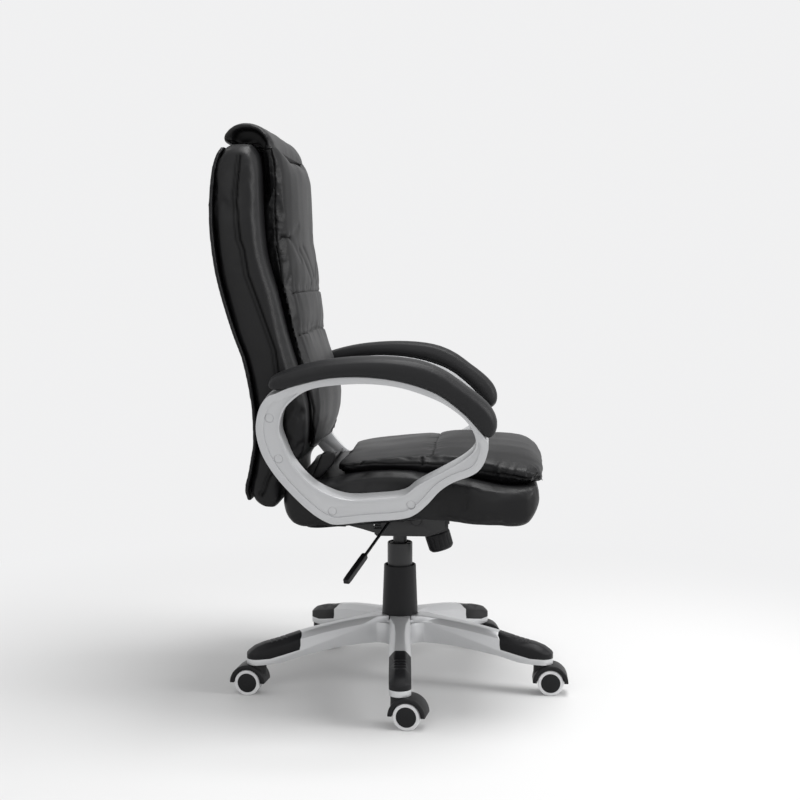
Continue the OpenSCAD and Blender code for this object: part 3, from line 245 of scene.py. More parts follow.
# %% [markdown]
# ## Paints, plastics and metal
# The arms and the base are painted silver: a pale metallic lacquer over a moulding, with an orange
# peel so fine that only the highlights show it. The foot caps, the sleeve and the casters are black
# plastic with a spark-eroded grain, and the arm pads have a coarser one. Steel under the seat is
# powder coated or zinc plated, the seat board has a black dust cover, and the back board is bare
# plywood. One function makes each family, so that its members differ only in colour and grain.

# %% Paints, plastics and metal
def silver_paint(name, colour):
    made = finish(name, colour, roughness=0.33, metallic=0.4)
    flakes = pattern(made, "ShaderNodeTexNoise", 700, Detail=2)
    vary_roughness(made, flakes.outputs["Fac"], 0.27, 0.4)
    cloud = pattern(made, "ShaderNodeTexNoise", 14, Detail=4)
    vary_colour(made, cloud.outputs["Fac"], tuple(0.95 * c for c in colour), colour)
    peel = pattern(made, "ShaderNodeTexNoise", 260, Detail=1)
    add_bump(made, peel.outputs["Fac"], 0.08, 0.2 * MM)
    return made


def grained_plastic(name, colour, roughness, grain_scale=900, depth_mm=0.12, gloss=0.5):
    made = finish(name, colour, roughness, Specular_IOR_Level=gloss)
    cloud = pattern(made, "ShaderNodeTexNoise", 20, Detail=4)
    vary_roughness(made, cloud.outputs["Fac"], roughness - 0.06, roughness + 0.08)
    vary_colour(made, cloud.outputs["Fac"], tuple(0.85 * c for c in colour),
                tuple(min(1, 1.1 * c) for c in colour))
    grain = pattern(made, "ShaderNodeTexNoise", grain_scale, Detail=2)
    add_bump(made, grain.outputs["Fac"], 0.3, depth_mm * MM)
    return made


def plated_steel():
    made = finish("zinc_steel", (0.55, 0.56, 0.58), roughness=0.32, metallic=1.0)
    brush = pattern(made, "ShaderNodeTexNoise", 220, stretch=(1, 1, 0.1), Detail=4)
    vary_roughness(made, brush.outputs["Fac"], 0.24, 0.42)
    cloud = pattern(made, "ShaderNodeTexNoise", 30, Detail=4)
    vary_colour(made, cloud.outputs["Fac"], (0.48, 0.49, 0.5), (0.6, 0.61, 0.63))
    return made


def veneer_plywood():
    made = finish("plywood", (0.6, 0.45, 0.28), 0.65)
    plies = pattern(made, "ShaderNodeTexWave", 330, bands_direction="Z", Distortion=0.6, Detail=2)
    vary_colour(made, plies.outputs["Fac"], (0.42, 0.29, 0.17), (0.66, 0.5, 0.32))
    fibre = pattern(made, "ShaderNodeTexNoise", 160, stretch=(1, 0.06, 1), Detail=6)
    add_bump(made, fibre.outputs["Fac"], 0.3, 0.3 * MM)
    return made


# %% [markdown]
# ## The chair's finishes
# Blender's colours are linear amounts of light, so they are smaller numbers than those of a
# picture: a silver that looks light grey is only a half. The blacks are all near zero, and it is the
# gloss and the roughness that tell the hard plastic from the soft pads and the cloth under the seat.

# %% The chair's finishes
arm_silver = silver_paint("arm_silver", (0.52, 0.525, 0.535))
base_silver = silver_paint("base_silver", (0.58, 0.585, 0.595))
black_plastic = grained_plastic("black_plastic", (0.006, 0.006, 0.007), 0.44, gloss=0.24)
pad_skin = grained_plastic("pad_skin", (0.010, 0.010, 0.011), 0.48,
                           grain_scale=600, depth_mm=0.2, gloss=0.26)
powder_coat = grained_plastic("powder_coat", (0.012, 0.012, 0.013), 0.4,
                              grain_scale=420, depth_mm=0.15)
pale_plastic = grained_plastic("pale_plastic", (0.7, 0.69, 0.65), 0.4)
tread_grey = grained_plastic("tread_grey", (0.68, 0.68, 0.69), 0.45)
dust_cover = grained_plastic("dust_cover", (0.010, 0.010, 0.011), 0.85,
                             grain_scale=300, depth_mm=0.3, gloss=0.1)
zinc = plated_steel()
plywood = veneer_plywood()
print("finishes:", len(bpy.data.materials))

# %% [markdown]
# ## Floor and backdrop
# In a studio a sheet of paper hangs down behind the object and runs on under it, so that no horizon
# shows. A curved sheet could be modelled, but it would show from behind. Here the floor is a plain
# pale disc that keeps the chair's soft shadow and fades into the colour of the backdrop. That far
# part glows only for the camera and in reflections, so it doesn't light the chair.

# %% Floor and backdrop
BACKDROP = (0.875, 0.875, 0.88)
FLOOR_GREY, FLOOR_RADIUS = (0.74, 0.74, 0.74), 9
FADE_FROM, FADE_TO = 0.45, 1.6


def seen_rays(tree):
    """1 for rays from the camera, from a glossy surface or through a clear one."""
    path = tree.nodes.new("ShaderNodeLightPath")
    total = path.outputs["Is Camera Ray"]
    for name in ("Is Glossy Ray", "Is Transmission Ray"):
        add = tree.nodes.new("ShaderNodeMath")
        add.operation = "MAXIMUM"
        tree.links.new(total, add.inputs[0])
        tree.links.new(path.outputs[name], add.inputs[1])
        total = add.outputs[0]
    return total


def floor_material():
    made = finish("floor", FLOOR_GREY, roughness=0.7, Specular_IOR_Level=0.2)
    tree = made.node_tree
    place = node_in(made, "ShaderNodeTexCoord")
    length = node_in(made, "ShaderNodeVectorMath", operation="LENGTH")
    wire(made, place.outputs["Object"], length.inputs[0])
    fade = node_in(made, "ShaderNodeMapRange", interpolation_type="SMOOTHSTEP")
    fade.inputs["From Min"].default_value = FADE_FROM
    fade.inputs["From Max"].default_value = FADE_TO
    wire(made, length.outputs["Value"], fade.inputs["Value"])
    both = node_in(made, "ShaderNodeMath", operation="MULTIPLY")
    wire(made, fade.outputs["Result"], both.inputs[0])
    wire(made, seen_rays(tree), both.inputs[1])
    glow = node_in(made, "ShaderNodeEmission", Color=(*BACKDROP, 1))
    mix = node_in(made, "ShaderNodeMixShader")
    wire(made, both.outputs[0], mix.inputs[0])
    wire(made, principled(made).outputs[0], mix.inputs[1])
    wire(made, glow.outputs[0], mix.inputs[2])
    wire(made, mix.outputs[0], tree.nodes["Material Output"].inputs["Surface"])
    return made


bm = bmesh.new()
bmesh.ops.create_circle(bm, cap_ends=True, segments=96, radius=FLOOR_RADIUS)
floor = bpy.data.objects.new("floor", bpy.data.meshes.new("floor"))
bm.to_mesh(floor.data)
bm.free()
floor.data.materials.append(floor_material())
scene.collection.objects.link(floor)
print("floor fades from", FADE_FROM, "to", FADE_TO, "m")

# %% [markdown]
# ## World and lamps
# The chair was lit softly from all round, with more light from above and from the front. The world
# gives the first and softboxes the rest: one overhead, one high in front, and a weak one on the
# camera's side. The camera sees the backdrop's colour and not the world's light, so each can be
# matched to the picture by itself.

# %% World and lamps
AMBIENT = 0.62

world = bpy.data.worlds.new("studio")
scene.world = world
world.use_nodes = True
tree = world.node_tree
shown = tree.nodes["Background"]
shown.inputs["Color"].default_value = (*BACKDROP, 1)
lit = tree.nodes.new("ShaderNodeBackground")
lit.inputs["Color"].default_value = (1, 1, 1, 1)
lit.inputs["Strength"].default_value = AMBIENT
mix = tree.nodes.new("ShaderNodeMixShader")
tree.links.new(seen_rays(tree), mix.inputs[0])
tree.links.new(lit.outputs[0], mix.inputs[1])
tree.links.new(shown.outputs[0], mix.inputs[2])
tree.links.new(mix.outputs[0], tree.nodes["World Output"].inputs["Surface"])


def softbox(name, at, target, width, height, watts):
    """A rectangular lamp that faces its target."""
    lamp = bpy.data.lights.new(name, "AREA")
    lamp.shape = "RECTANGLE"
    lamp.size, lamp.size_y, lamp.energy = width, height, watts
    holder = bpy.data.objects.new(name, lamp)
    holder.location = at
    holder.rotation_euler = aim(at, target)
    scene.collection.objects.link(holder)


softbox("overhead", at=(0.0, -0.5, 3.0), target=(0, 0, 0.5), width=1.3, height=1.3, watts=54)
softbox("front", at=(-0.7, -2.9, 1.7), target=(0, 0, 0.6), width=1.0, height=1.4, watts=42)
softbox("camera_side", at=(-3.0, 0.9, 1.9), target=(0, 0, 0.5), width=1.8, height=1.8, watts=12)

# %% [markdown]
# ## Working copies of CAD nodes
# A CAD node is a mesh of loose triangles, and it must not be changed. So we copy its mesh, merge
# the corners that coincide, and join triangles that lie in one plane back into whole faces. Real
# mouldings and castings have no knife edges: a small bevel on every sharp edge catches the light.

# %% Copies and bevels
def new_piece(name, bm, *materials):
    """A new object from a bmesh, shaded smooth, with its materials in order."""
    made = bpy.data.objects.new(name, bpy.data.meshes.new(name))
    for face in bm.faces:
        face.smooth = True
    bm.to_mesh(made.data)
    bm.free()
    for material in materials:
        made.data.materials.append(material)
    scene.collection.objects.link(made)
    return made


def node_copy(node, flat=radians(0.5)):
    """A bmesh of a CAD node, with merged corners and whole faces."""
    bm = bmesh.new()
    bm.from_mesh(frame["nodes"][node].data)
    bmesh.ops.remove_doubles(bm, verts=bm.verts, dist=0.01 * MM)
    bmesh.ops.dissolve_limit(bm, angle_limit=flat, verts=bm.verts, edges=bm.edges)
    return bm


def sharp_edges(bm, limit):
    return [e for e in bm.edges if e.is_manifold and e.calc_face_angle(0) > limit]


def bevelled(bm, edges, width, segments=2):
    bmesh.ops.bevel(bm, geom=edges, affect="EDGES", offset_type="OFFSET", offset=width,
                    segments=segments, profile=0.5, material=-1, clamp_overlap=True)


def soften(bm, width, limit=radians(32)):
    """Bevels every edge that is sharper than a limit."""
    bevelled(bm, sharp_edges(bm, limit), width)


def shade_by_angle(piece, limit=radians(35)):
    """Smooth shading, with the edges over a limit kept sharp."""
    bm = bmesh.new()
    bm.from_mesh(piece.data)
    for edge in bm.edges:
        edge.smooth = not (edge.is_manifold and edge.calc_face_angle(0) > limit)
    bm.to_mesh(piece.data)
    bm.free()


# %% [markdown]
# ## Rigid pieces
# Every rigid node gets a bevelled copy in its own finish, and the copy stands for the node. The
# bevel's width is that of the real edge: a fraction of a millimetre on turned and pressed steel,
# more on castings. The copy rides on the node's own body, so it moves as the CAD node would.

# %% Bodies
BODIES = frame["record"]["behaviour"]["bodies"]
BODY_OF = {node: body for body, nodes in BODIES.items() for node in nodes}


def dress(piece, node):
    """The piece stands for the node, on its body, and the node is hidden."""
    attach(piece, BODY_OF[node])
    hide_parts(node)


# %% [markdown]
# ## Table of the rigid pieces
# The bevel could be guessed from each piece's size, but a table says plainly which finish and
# which edge each piece has. It gives the bevel's width in millimetres, and 0 means none.

# %% Rigid pieces
RIGID = {
    "star_base": (base_silver, 0.9), "foot_caps": (black_plastic, 0.5),
    "column_cover": (black_plastic, 0.0), "gas_tube": (powder_coat, 0.0),
    "guide_bush": (pale_plastic, 0.3), "piston_rod": (zinc, 0.0), "thrust_bearing": (zinc, 0.0),
    "retaining_clip": (zinc, 0.2), "gas_cylinder": (powder_coat, 0.0),
    "mechanism_housing": (powder_coat, 0.5), "tilt_pin": (powder_coat, 0.0),
    "release_pin": (zinc, 0.0), "lock_plate": (zinc, 0.3),
    "lever_rod": (powder_coat, 0.0), "lever_grip": (black_plastic, 0.8),
    "tension_knob": (black_plastic, 0.4), "tension_bolt": (zinc, 0.3),
    "seat_plate": (powder_coat, 0.4), "tilt_bushes": (pale_plastic, 0.0),
    "plate_bolts": (zinc, 0.3), "seat_board": (dust_cover, 0.8), "back_board": (plywood, 0.8),
    "arm_bolts": (zinc, 0.2), "bolt_plugs": (arm_silver, 0.2),
}
for i in range(1, 6):
    RIGID[f"caster_hood_{i}"] = (black_plastic, 0.6)
    RIGID[f"caster_pins_{i}"] = (zinc, 0.0)

for node, (material, bevel_mm) in RIGID.items():
    bm = node_copy(node)
    if bevel_mm:
        soften(bm, bevel_mm * MM)
    piece = new_piece(node + "_dressed", bm, material)
    shade_by_angle(piece)
    dress(piece, node)
print("rigid pieces:", len(RIGID))

# %% [markdown]
# ## Tension spring
# The coil stands in the knob's cup and pushes up against the housing, so its foot rises with the seat while its
# head stays. That is not a rigid motion, and here the copy is only fixed in place, on no body, with the CAD node
# hidden.

spring = new_piece("tension_spring_dressed", node_copy("tension_spring"), zinc)
shade_by_angle(spring)
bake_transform(spring)
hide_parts("tension_spring")
print("spring faces:", len(spring.data.polygons))

# %% [markdown]
# ## Wheels
# Each caster has two wheels: a black disc with a pale, softer tread round it for hard floors. Both
# are solids of one node, so we tell them apart by their distance from the axle, which is the line
# of the wheel's joint, and give the tread its own material.

# %% Wheels
TREAD_INNER_R, WHEEL_BEVEL = 18.4 * MM, 0.25 * MM
joints = {j["name"]: j for j in frame["joints"]}

for i in range(1, 6):
    for side in ("outer", "inner"):
        node = f"wheel_{side}_{i}"
        joint = joints[f"wheel_{side}_{i}_roll"]
        hub, axle = Vector(joint["pos_m"]), Vector(joint["axis"])
        bm = node_copy(node)
        soften(bm, WHEEL_BEVEL)
        for face in bm.faces:
            spokes = [(v.co - hub) - (v.co - hub).dot(axle) * axle for v in face.verts]
            face.material_index = int(min(s.length for s in spokes) > TREAD_INNER_R)
        piece = new_piece(node + "_dressed", bm, black_plastic, tread_grey)
        shade_by_angle(piece)
        dress(piece, node)
print("tread from", round(TREAD_INNER_R / MM, 1), "mm of the axle outwards")

# %% [markdown]
# ## Arm frames
# The arms are closed loops, moulded with a raised band round the outside, a hollowed face and a
# bright lip round the opening. Their rims are rounder than the steps inside them, so the loops of
# sharp edges are found one by one, and the longest ones get the widest bevel.

# %% Arm frames
RIM_BEVEL, STEP_BEVEL, PLUG_BEVEL = 3.2 * MM, 1.1 * MM, 0.3 * MM
RIM_LENGTH, PLUG_LENGTH = 1.3, 0.2


def edge_loops(bm, limit=radians(40)):
    """The sharp edges, gathered into connected groups, in the same order at every run."""
    left = dict.fromkeys(sharp_edges(bm, limit))
    groups = []
    while left:
        group, front = [], [left.popitem()[0]]
        while front:
            edge = front.pop()
            group.append(edge)
            for vert in edge.verts:
                for other in vert.link_edges:
                    if other in left:
                        del left[other]
                        front.append(other)
        groups.append(group)
    return groups


def bevel_for(length):
    """The longest loops of edges are rims, the next are steps, and the rest are plug seats."""
    if length > RIM_LENGTH:
        return RIM_BEVEL
    return STEP_BEVEL if length > PLUG_LENGTH else PLUG_BEVEL


for side in ("left", "right"):
    node = f"arm_frame_{side}"
    bm = node_copy(node)
    sizes = {}
    for group in edge_loops(bm):
        width = bevel_for(sum(e.calc_length() for e in group))
        sizes.setdefault(width, []).extend(group)
    for width, edges in sorted(sizes.items()):
        edges = [e for e in edges if e.is_valid]
        bevelled(bm, edges, width, segments=4 if width == RIM_BEVEL else 2)
    piece = new_piece(node + "_dressed", bm, arm_silver)
    shade_by_angle(piece)
    dress(piece, node)
    print(piece.name, len(piece.data.polygons), "faces")

# %% [markdown]
# ## From solid to skin
# The pads and cushions are soft, so their meshes need small even faces that can swell and crease.
# Subdividing the CAD triangles would keep their uneven pattern. A voxel remesh throws them away
# and wraps the shape in a new skin of equal squares. Smoothing such a skin makes it shrink, so each
# step in is followed by a slightly longer one out: the facets go and the size stays.

# %% Skins
RELAX_IN, RELAX_OUT = 0.5, -0.53


def bake(piece):
    """Applies the piece's modifiers to its mesh."""
    evaluated = piece.evaluated_get(bpy.context.evaluated_depsgraph_get())
    mesh = bpy.data.meshes.new_from_object(evaluated)
    piece.modifiers.clear()
    piece.data = mesh


def relax(piece, times, factor=RELAX_IN, ahead_of=None):
    """Evens the skin out, as a cover that is pulled over foam does, or only its front part."""
    bm = bmesh.new()
    bm.from_mesh(piece.data)
    some = [v for v in bm.verts if ahead_of is None or v.co.y < -ahead_of]
    for _ in range(times):
        bmesh.ops.smooth_vert(bm, verts=some, factor=factor, use_axis_x=True,
                              use_axis_y=True, use_axis_z=True)
    bm.to_mesh(piece.data)
    bm.free()


def skinned(node, name, voxel, material, times=0):
    """A new piece: the node's shape as an even skin of squares, with its facets relaxed away."""
    piece = new_piece(name, node_copy(node), material)
    remesh = piece.modifiers.new("skin", "REMESH")
    remesh.mode = "VOXEL"
    remesh.voxel_size = voxel
    remesh.use_smooth_shade = True
    bake(piece)
    for _ in range(times):
        relax(piece, 1, RELAX_IN)
        relax(piece, 1, RELAX_OUT)
    return piece


def finer(piece):
    """Halves the squares of a skin."""
    sub = piece.modifiers.new("finer", "SUBSURF")
    sub.levels = sub.render_levels = 1
    bake(piece)


# %% [markdown]
# ## Arm pads
# The pads are moulded foam with a tight black skin: firm, with a rounded shoulder that runs along
# each side. They only need an even skin that is relaxed a little, and no stuffing.

# %% Arm pads
PAD_VOXEL = 2.5 * MM

for side in ("left", "right"):
    pad = skinned(f"arm_pad_{side}", f"arm_pad_{side}_skin", PAD_VOXEL, pad_skin)
    relax(pad, 6)
    finer(pad)
    dress(pad, f"arm_pad_{side}")
    print(pad.name, len(pad.data.polygons), "faces")

# %% [markdown]
# ## Points as arrays
# The cushions have a hundred thousand points and more. A loop over them in Python is slow, so their
# places and normals are read into numpy arrays, changed there all at once, and written back.

# %% Points as arrays
def points(piece):
    """The places of the piece's vertices, as rows of x, y and z."""
    co = np.empty(len(piece.data.vertices) * 3)
    piece.data.vertices.foreach_get("co", co)
    return co.reshape(-1, 3)


def normals(piece):
    out = np.empty(len(piece.data.vertices) * 3)
    piece.data.vertices.foreach_get("normal", out)
    return out.reshape(-1, 3)


def move_to(piece, co):
    piece.data.vertices.foreach_set("co", co.ravel())
    piece.data.update()


# %% [markdown]
# ## Stuffing by simulation
# A cushion is a sewn cover with foam pushing out from inside. We get that by simulating the cover
# as cloth with air pressure in it and no gravity, for twenty frames. The cloth would swell by
# several centimetres, as no foam holds it back. So it starts a little smaller than the CAD solid,
# each point keeps its direction but goes no further than a cap, and it ends as a plain mesh.

# %% Stuffing
FRAMES, PRESSURE, LOOSER = 20, 4.0, 0.02


def stuff(piece, inset, cap):
    """Swells the piece like a filled cover: from a smaller start, and by no more than the cap."""
    start = points(piece) - normals(piece) * inset
    move_to(piece, start)
    cloth = piece.modifiers.new("stuffing", "CLOTH")
    settings = cloth.settings
    settings.quality = 3
    settings.mass = 0.25
    settings.tension_stiffness = settings.compression_stiffness = 12
    settings.shear_stiffness = 6
    settings.bending_stiffness = 0.6
    settings.use_pressure = True
    settings.uniform_pressure_force = PRESSURE
    settings.shrink_min = -LOOSER
    settings.effector_weights.gravity = 0
    cloth.collision_settings.use_collision = False
    cloth.collision_settings.use_self_collision = False
    cloth.point_cache.frame_start, cloth.point_cache.frame_end = 1, FRAMES
    for step in range(1, FRAMES + 1):
        scene.frame_set(step)
    end = points(piece.evaluated_get(bpy.context.evaluated_depsgraph_get()))
    piece.modifiers.clear()
    scene.frame_set(1)
    move = end - start
    length = np.linalg.norm(move, axis=1, keepdims=True)
    move *= np.minimum(1, cap / np.maximum(length, 1e-9))
    move_to(piece, start + move)
    print(piece.name, "would swell by", round(float(length.max()) / MM, 1), "mm, cap", cap / MM)


# %% [markdown]
# ## Seams
# Sewing pulls the cover down along a line, and where one panel is longer than its neighbour it is
# gathered: small folds run square to the seam and fade out within a few centimetres. A seam here is
# a line of points laid on the skin; every vertex knows how far it is from it, and where along it.

# %% Lines on a skin
FAR, SPACING = 1e3, 1.5 * MM


def laid_on(piece, line):
    """The line, resampled evenly and laid on the piece's surface."""
    tree = BVHTree.FromPolygons([v.co for v in piece.data.vertices],
                                [p.vertices for p in piece.data.polygons])
    dense = []
    for a, b in zip(line, line[1:]):
        a, b = Vector(a), Vector(b)
        steps = max(1, int((b - a).length / SPACING))
        dense += [tree.find_nearest(a.lerp(b, k / steps))[0] for k in range(steps)]
    return dense


def along(piece, line, reach):
    """Per vertex: the distance to the line and the distance along it, or FAR beyond reach."""
    dense = laid_on(piece, line)
    run = np.concatenate([[0.0], np.cumsum([(b - a).length for a, b in zip(dense, dense[1:])])])
    tree = KDTree(len(dense))
    for i, p in enumerate(dense):
        tree.insert(p, i)
    tree.balance()
    co = points(piece)
    away, where = np.full(len(co), FAR), np.zeros(len(co))
    lo, hi = np.min(dense, axis=0) - reach, np.max(dense, axis=0) + reach
    for i in np.nonzero(np.all((co > lo) & (co < hi), axis=1))[0]:
        _, k, d = tree.find(co[i])
        if d < reach:
            away[i], where[i] = d, run[k]
    return away, where


print("points on a line are", SPACING / MM, "mm apart")

# %% [markdown]
# ## Sewing and gathers
# A groove could be a bump in the material, but a pillow's outline shows its seams too, so the skin
# itself is drawn in. A groove has the section of a bell curve. The gathers come from a slow noise
# along the seam: where it is near zero there is a narrow fold, and between folds the skin rises.
# The same groove is written to an attribute as painted shade, more for a deeper groove, and there the leather is
# dull and dark.

# %% Sewing
FOLD_DEPTH, SEED_STEP = 3, 3.1


def mark_seam(piece, share):
    """Keeps the largest share of painted shade in an attribute that the leather reads."""
    mesh = piece.data
    layer = mesh.attributes.get("seam") or mesh.attributes.new("seam", "FLOAT", "POINT")
    before = np.empty(len(mesh.vertices))
    layer.data.foreach_get("value", before)
    layer.data.foreach_set("value", np.maximum(before, share))


def sew(piece, line, depth, width, seam_shade=1.0, gather=0.0, reach=18 * MM, pitch=9 * MM, seed=0):
    """Draws the skin in along a line, and gathers it in folds that run out as far as reach."""
    away, where = along(piece, line, max(reach * 1.6, 4 * width))
    inward = depth * np.exp(-(away / width) ** 2)
    # painted shade in the groove, scaled by its depth
    mark_seam(piece, seam_shade * min(1, depth / MM) * np.exp(-(away / (0.8 * width)) ** 2))
    if gather:
        near = away < FAR
        fold = np.zeros(len(away))
        fold[near] = [abs(noise.noise((w / pitch, SEED_STEP * seed, 0.4))) for w in where[near]]
        fade = np.exp(-(away / reach) ** 2) * (1 - 0.5 * np.exp(-(away / width) ** 2))
        inward += gather * (1 - FOLD_DEPTH * fold) * fade
    move_to(piece, points(piece) - normals(piece) * inward[:, None])


def beside(line, step):
    """The same line moved a little forward or back, for a second row of stitches."""
    return [(x, y + step, z) for x, y, z in line]


def ripple(piece, height, scale, seed):
    """Slow, shallow unevenness: the cover is never quite tight everywhere."""
    co = points(piece)
    k = 1 / scale
    bumps = np.array([noise.noise((x * k + seed, y * k, z * k)) for x, y, z in co])
    move_to(piece, co + normals(piece) * (height * bumps)[:, None])


# %% [markdown]
# ## Seat box
# The lower cushion is a boxed foam block that carries the sewn pillow. Most of it is hidden, so it
# gets a coarser skin than the pillows, which also keeps the simulation short.

# %% Seat box
BOX_VOXEL, PILLOW_VOXEL = 6 * MM, 5 * MM

seat_box = skinned("seat_cushion", "seat_box", BOX_VOXEL, leather, 8)
stuff(seat_box, inset=3 * MM, cap=4 * MM)
finer(seat_box)
ripple(seat_box, height=1.2 * MM, scale=0.09, seed=3)
dress(seat_box, "seat_cushion")
print(seat_box.name, len(seat_box.data.polygons), "faces")

# %% [markdown]
# ## Seat pillow
# The pillow is sewn on top of the box. Its top panel rolls over the front edge, and the nose there
# is filled so well that it stands full and straight. So after the simulation the skin is moved out
# along its normals ahead of a line, and held back where it would come too far forward.

# %% Seat pillow
NOSE_FILL, NOSE_END = 7 * MM, 0.2855
NOSE_FILL_FROM, NOSE_FILL_FADE = 0.19, 0.06        # forward of the column
NOSE_FILL_LOW, NOSE_LOW_FADE = 0.444, 0.012        # height, below which nothing is filled
NOSE_FACING = 0.3                                  # skin that faces further down isn't filled

seat_pillow = skinned("seat_pillow", "seat_pillow_sewn", PILLOW_VOXEL, leather, 12)
stuff(seat_pillow, inset=4 * MM, cap=6 * MM)
finer(seat_pillow)
co, out = points(seat_pillow), normals(seat_pillow)
front = np.clip((-co[:, 1] - NOSE_FILL_FROM) / NOSE_FILL_FADE, 0, 1)
front *= np.clip((co[:, 2] - NOSE_FILL_LOW) / NOSE_LOW_FADE, 0, 1) \
    * np.clip(out[:, 2] + NOSE_FACING, 0, 1)
co += out * (NOSE_FILL * front)[:, None]
co[:, 1] = np.maximum(co[:, 1], -NOSE_END)
move_to(seat_pillow, co)
print(seat_pillow.name, len(seat_pillow.data.polygons), "faces")

# %% [markdown]
# ## Sewing of the seat pillow
# The top panel meets the side panel in a seam that runs low round the pillow and is gathered on
# the nose. One seam crosses the seat behind the thighs, and each side has two short tucks where the
# foam is held down. The line is chosen for the side that the picture shows, and mirrored.

# %% Sewing of the seat pillow
# along the seat: forward, half of the width and height of the seam, in millimetres
SEAT_SEAM = [(-105, 182, 457), (-83, 199, 461), (-47, 204, 467), (-1, 205, 471), (55, 206, 473),
             (90, 206, 470), (140, 208, 463), (180, 213, 455), (216, 220, 448), (252, 219, 443),
             (266, 208, 442), (278, 176, 442)]
NOSE_FROM = 7                      # the gathers start here in that list
NOSE_EDGE = 0.272                  # forward of this the skin is evened out
CROSS_SEAM_F, SEAT_HALF, PILLOW_TOP = 70, 200, 0.505
TUCKS_F = (-58, 55)
TUCK_HIGH, TUCK_LOW = (0.198, 0.486), (0.208, 0.468)        # half of the width, and height

right = [(-w * MM, -f * MM, z * MM) for f, w, z in SEAT_SEAM]
left = [(-x, y, z) for x, y, z in right]
sew(seat_pillow, right + left[::-1], 1.4 * MM, 2.6 * MM, seam_shade=0.8)
nose = right[NOSE_FROM:] + left[NOSE_FROM:][::-1]
sew(seat_pillow, nose, 0.4 * MM, 2.6 * MM, gather=1.5 * MM, reach=20 * MM, pitch=11 * MM)
cross = [(x * MM, -CROSS_SEAM_F * MM, PILLOW_TOP) for x in range(-SEAT_HALF, SEAT_HALF + 1, 10)]
sew(seat_pillow, cross, 2.6 * MM, 2.2 * MM, gather=0.7 * MM, reach=16 * MM, pitch=24 * MM, seed=2)
for f in TUCKS_F:
    for s in (-1, 1):
        tuck = [(s * half, -f * MM, z) for half, z in (TUCK_HIGH, TUCK_LOW)]
        sew(seat_pillow, tuck, 2.4 * MM, 2.6 * MM)
ripple(seat_pillow, height=1.5 * MM, scale=0.08, seed=11)
relax(seat_pillow, 8, ahead_of=NOSE_EDGE)
dress(seat_pillow, "seat_pillow")
print("seat seam of", len(right + left), "points")

# %% [markdown]
# ## Back box
# The rear cushion is as thick as a hand and wraps the curved board. A double-stitched seam runs
# down each side, where the border panel meets the front panel: a groove with a shallower one beside
# it reads as two rows of stitches.

# %% Back box
# the boxing seam down each side of the back, as forward and height in millimetres
BOXING = [(-267, 1036), (-269, 1000), (-273, 947), (-272, 912), (-268, 876), (-261, 858),
          (-254, 813), (-231, 751), (-205, 679), (-195, 600), (-196, 520), (-218, 440), (-240, 400)]
BOXING_HALF, STITCH_ROWS = 0.262, 8 * MM

back_box = skinned("back_cushion", "back_box", BOX_VOXEL, leather, 8)
stuff(back_box, inset=3 * MM, cap=4 * MM)
finer(back_box)
for s in (-1, 1):
    side_seam = [(s * BOXING_HALF, -f * MM, z * MM) for f, z in BOXING]
    sew(back_box, side_seam, 1.2 * MM, 3.0 * MM, seam_shade=0.9)
    sew(back_box, beside(side_seam, STITCH_ROWS), 0.5 * MM, 2.6 * MM)
ripple(back_box, height=1.2 * MM, scale=0.1, seed=5)
dress(back_box, "back_cushion")
print(back_box.name, len(back_box.data.polygons), "faces")

# %% [markdown]
# ## Back pillow
# Two seams cross the pillow at the small of the back, and a short stitch on each side, higher up,
# pulls the cover into a shallow V. The cover is a little loose above the upper seam, so slanting
# folds run down to it. Its edge seam is gathered at the top corners.

# %% Back pillow and its seams
# down each side: height, forward and half of the width
BACK_SIDE = [(484, -163, 167), (513, -150, 183), (550, -143, 193), (587, -144, 194),
             (614, -148, 195), (665, -167, 195), (714, -181, 195), (750, -190, 195),
             (795, -200, 195), (840, -206, 195), (894, -212, 195), (948, -214, 191),
             (993, -214, 187), (1028, -220, 174)]
CORNER_POINTS = 5                  # the last points of that list, where the seam is gathered
CROSS_SEAMS, BACK_HALF, CROSS_Y = (711, 790), 192, 0.15

back_pillow = skinned("back_pillow", "back_pillow_sewn", PILLOW_VOXEL, leather, 16)
stuff(back_pillow, inset=5 * MM, cap=6 * MM)
finer(back_pillow)
for s in (-1, 1):
    side_line = [(s * w * MM, -f * MM, z * MM) for z, f, w in BACK_SIDE]
    sew(back_pillow, side_line, 1.8 * MM, 2.4 * MM)
    sew(back_pillow, side_line[-CORNER_POINTS:], 0.3 * MM, 2.4 * MM,
        gather=2.4 * MM, reach=12 * MM, pitch=8 * MM, seed=s + 3)
for z in CROSS_SEAMS:
    line = [(x * MM, CROSS_Y, z * MM) for x in range(-BACK_HALF, BACK_HALF + 1, 8)]
    sew(back_pillow, line, 3.0 * MM, 2.2 * MM,
        gather=0.7 * MM, reach=20 * MM, pitch=26 * MM, seed=z)
print(back_pillow.name, len(back_pillow.data.polygons), "faces")

# %% [markdown]
# ## Tufts, creases and top corners
# The short stitch pulls two soft creases with it, one down and one up, and the loose cover hangs in two slanting
# folds. They are wide, shallow grooves with little or no painted shade in them. At the top the pillow swells out
# beside the crown, so its corners are made wider and higher.

# %% Tufts, creases and top corners
FRONT_Y, FRONT_LOW_Y = 0.18, 0.17                  # near the pillow's face, where lines are laid
TUFT_Z, TUFT_OUT, TUFT_IN = 884, (0.185, 0.2), (0.15, FRONT_Y)
CREASE_X, CREASES = 0.152, ((0.11, 40), (0.1, -22))             # where it ends, and its drop
SLANTS = ((0.11, 0.035, 0.862, 0.797), (0.075, 0.01, 0.868, 0.812))  # two widths, two heights
CORNER_FROM, CORNER_SPAN, CORNER_WIDER, CORNER_RISE = 0.95, 0.084, 0.13, 24 * MM
CORNER_X, CORNER_FADE = 0.1, 0.08                  # the rise starts here and fades in over that

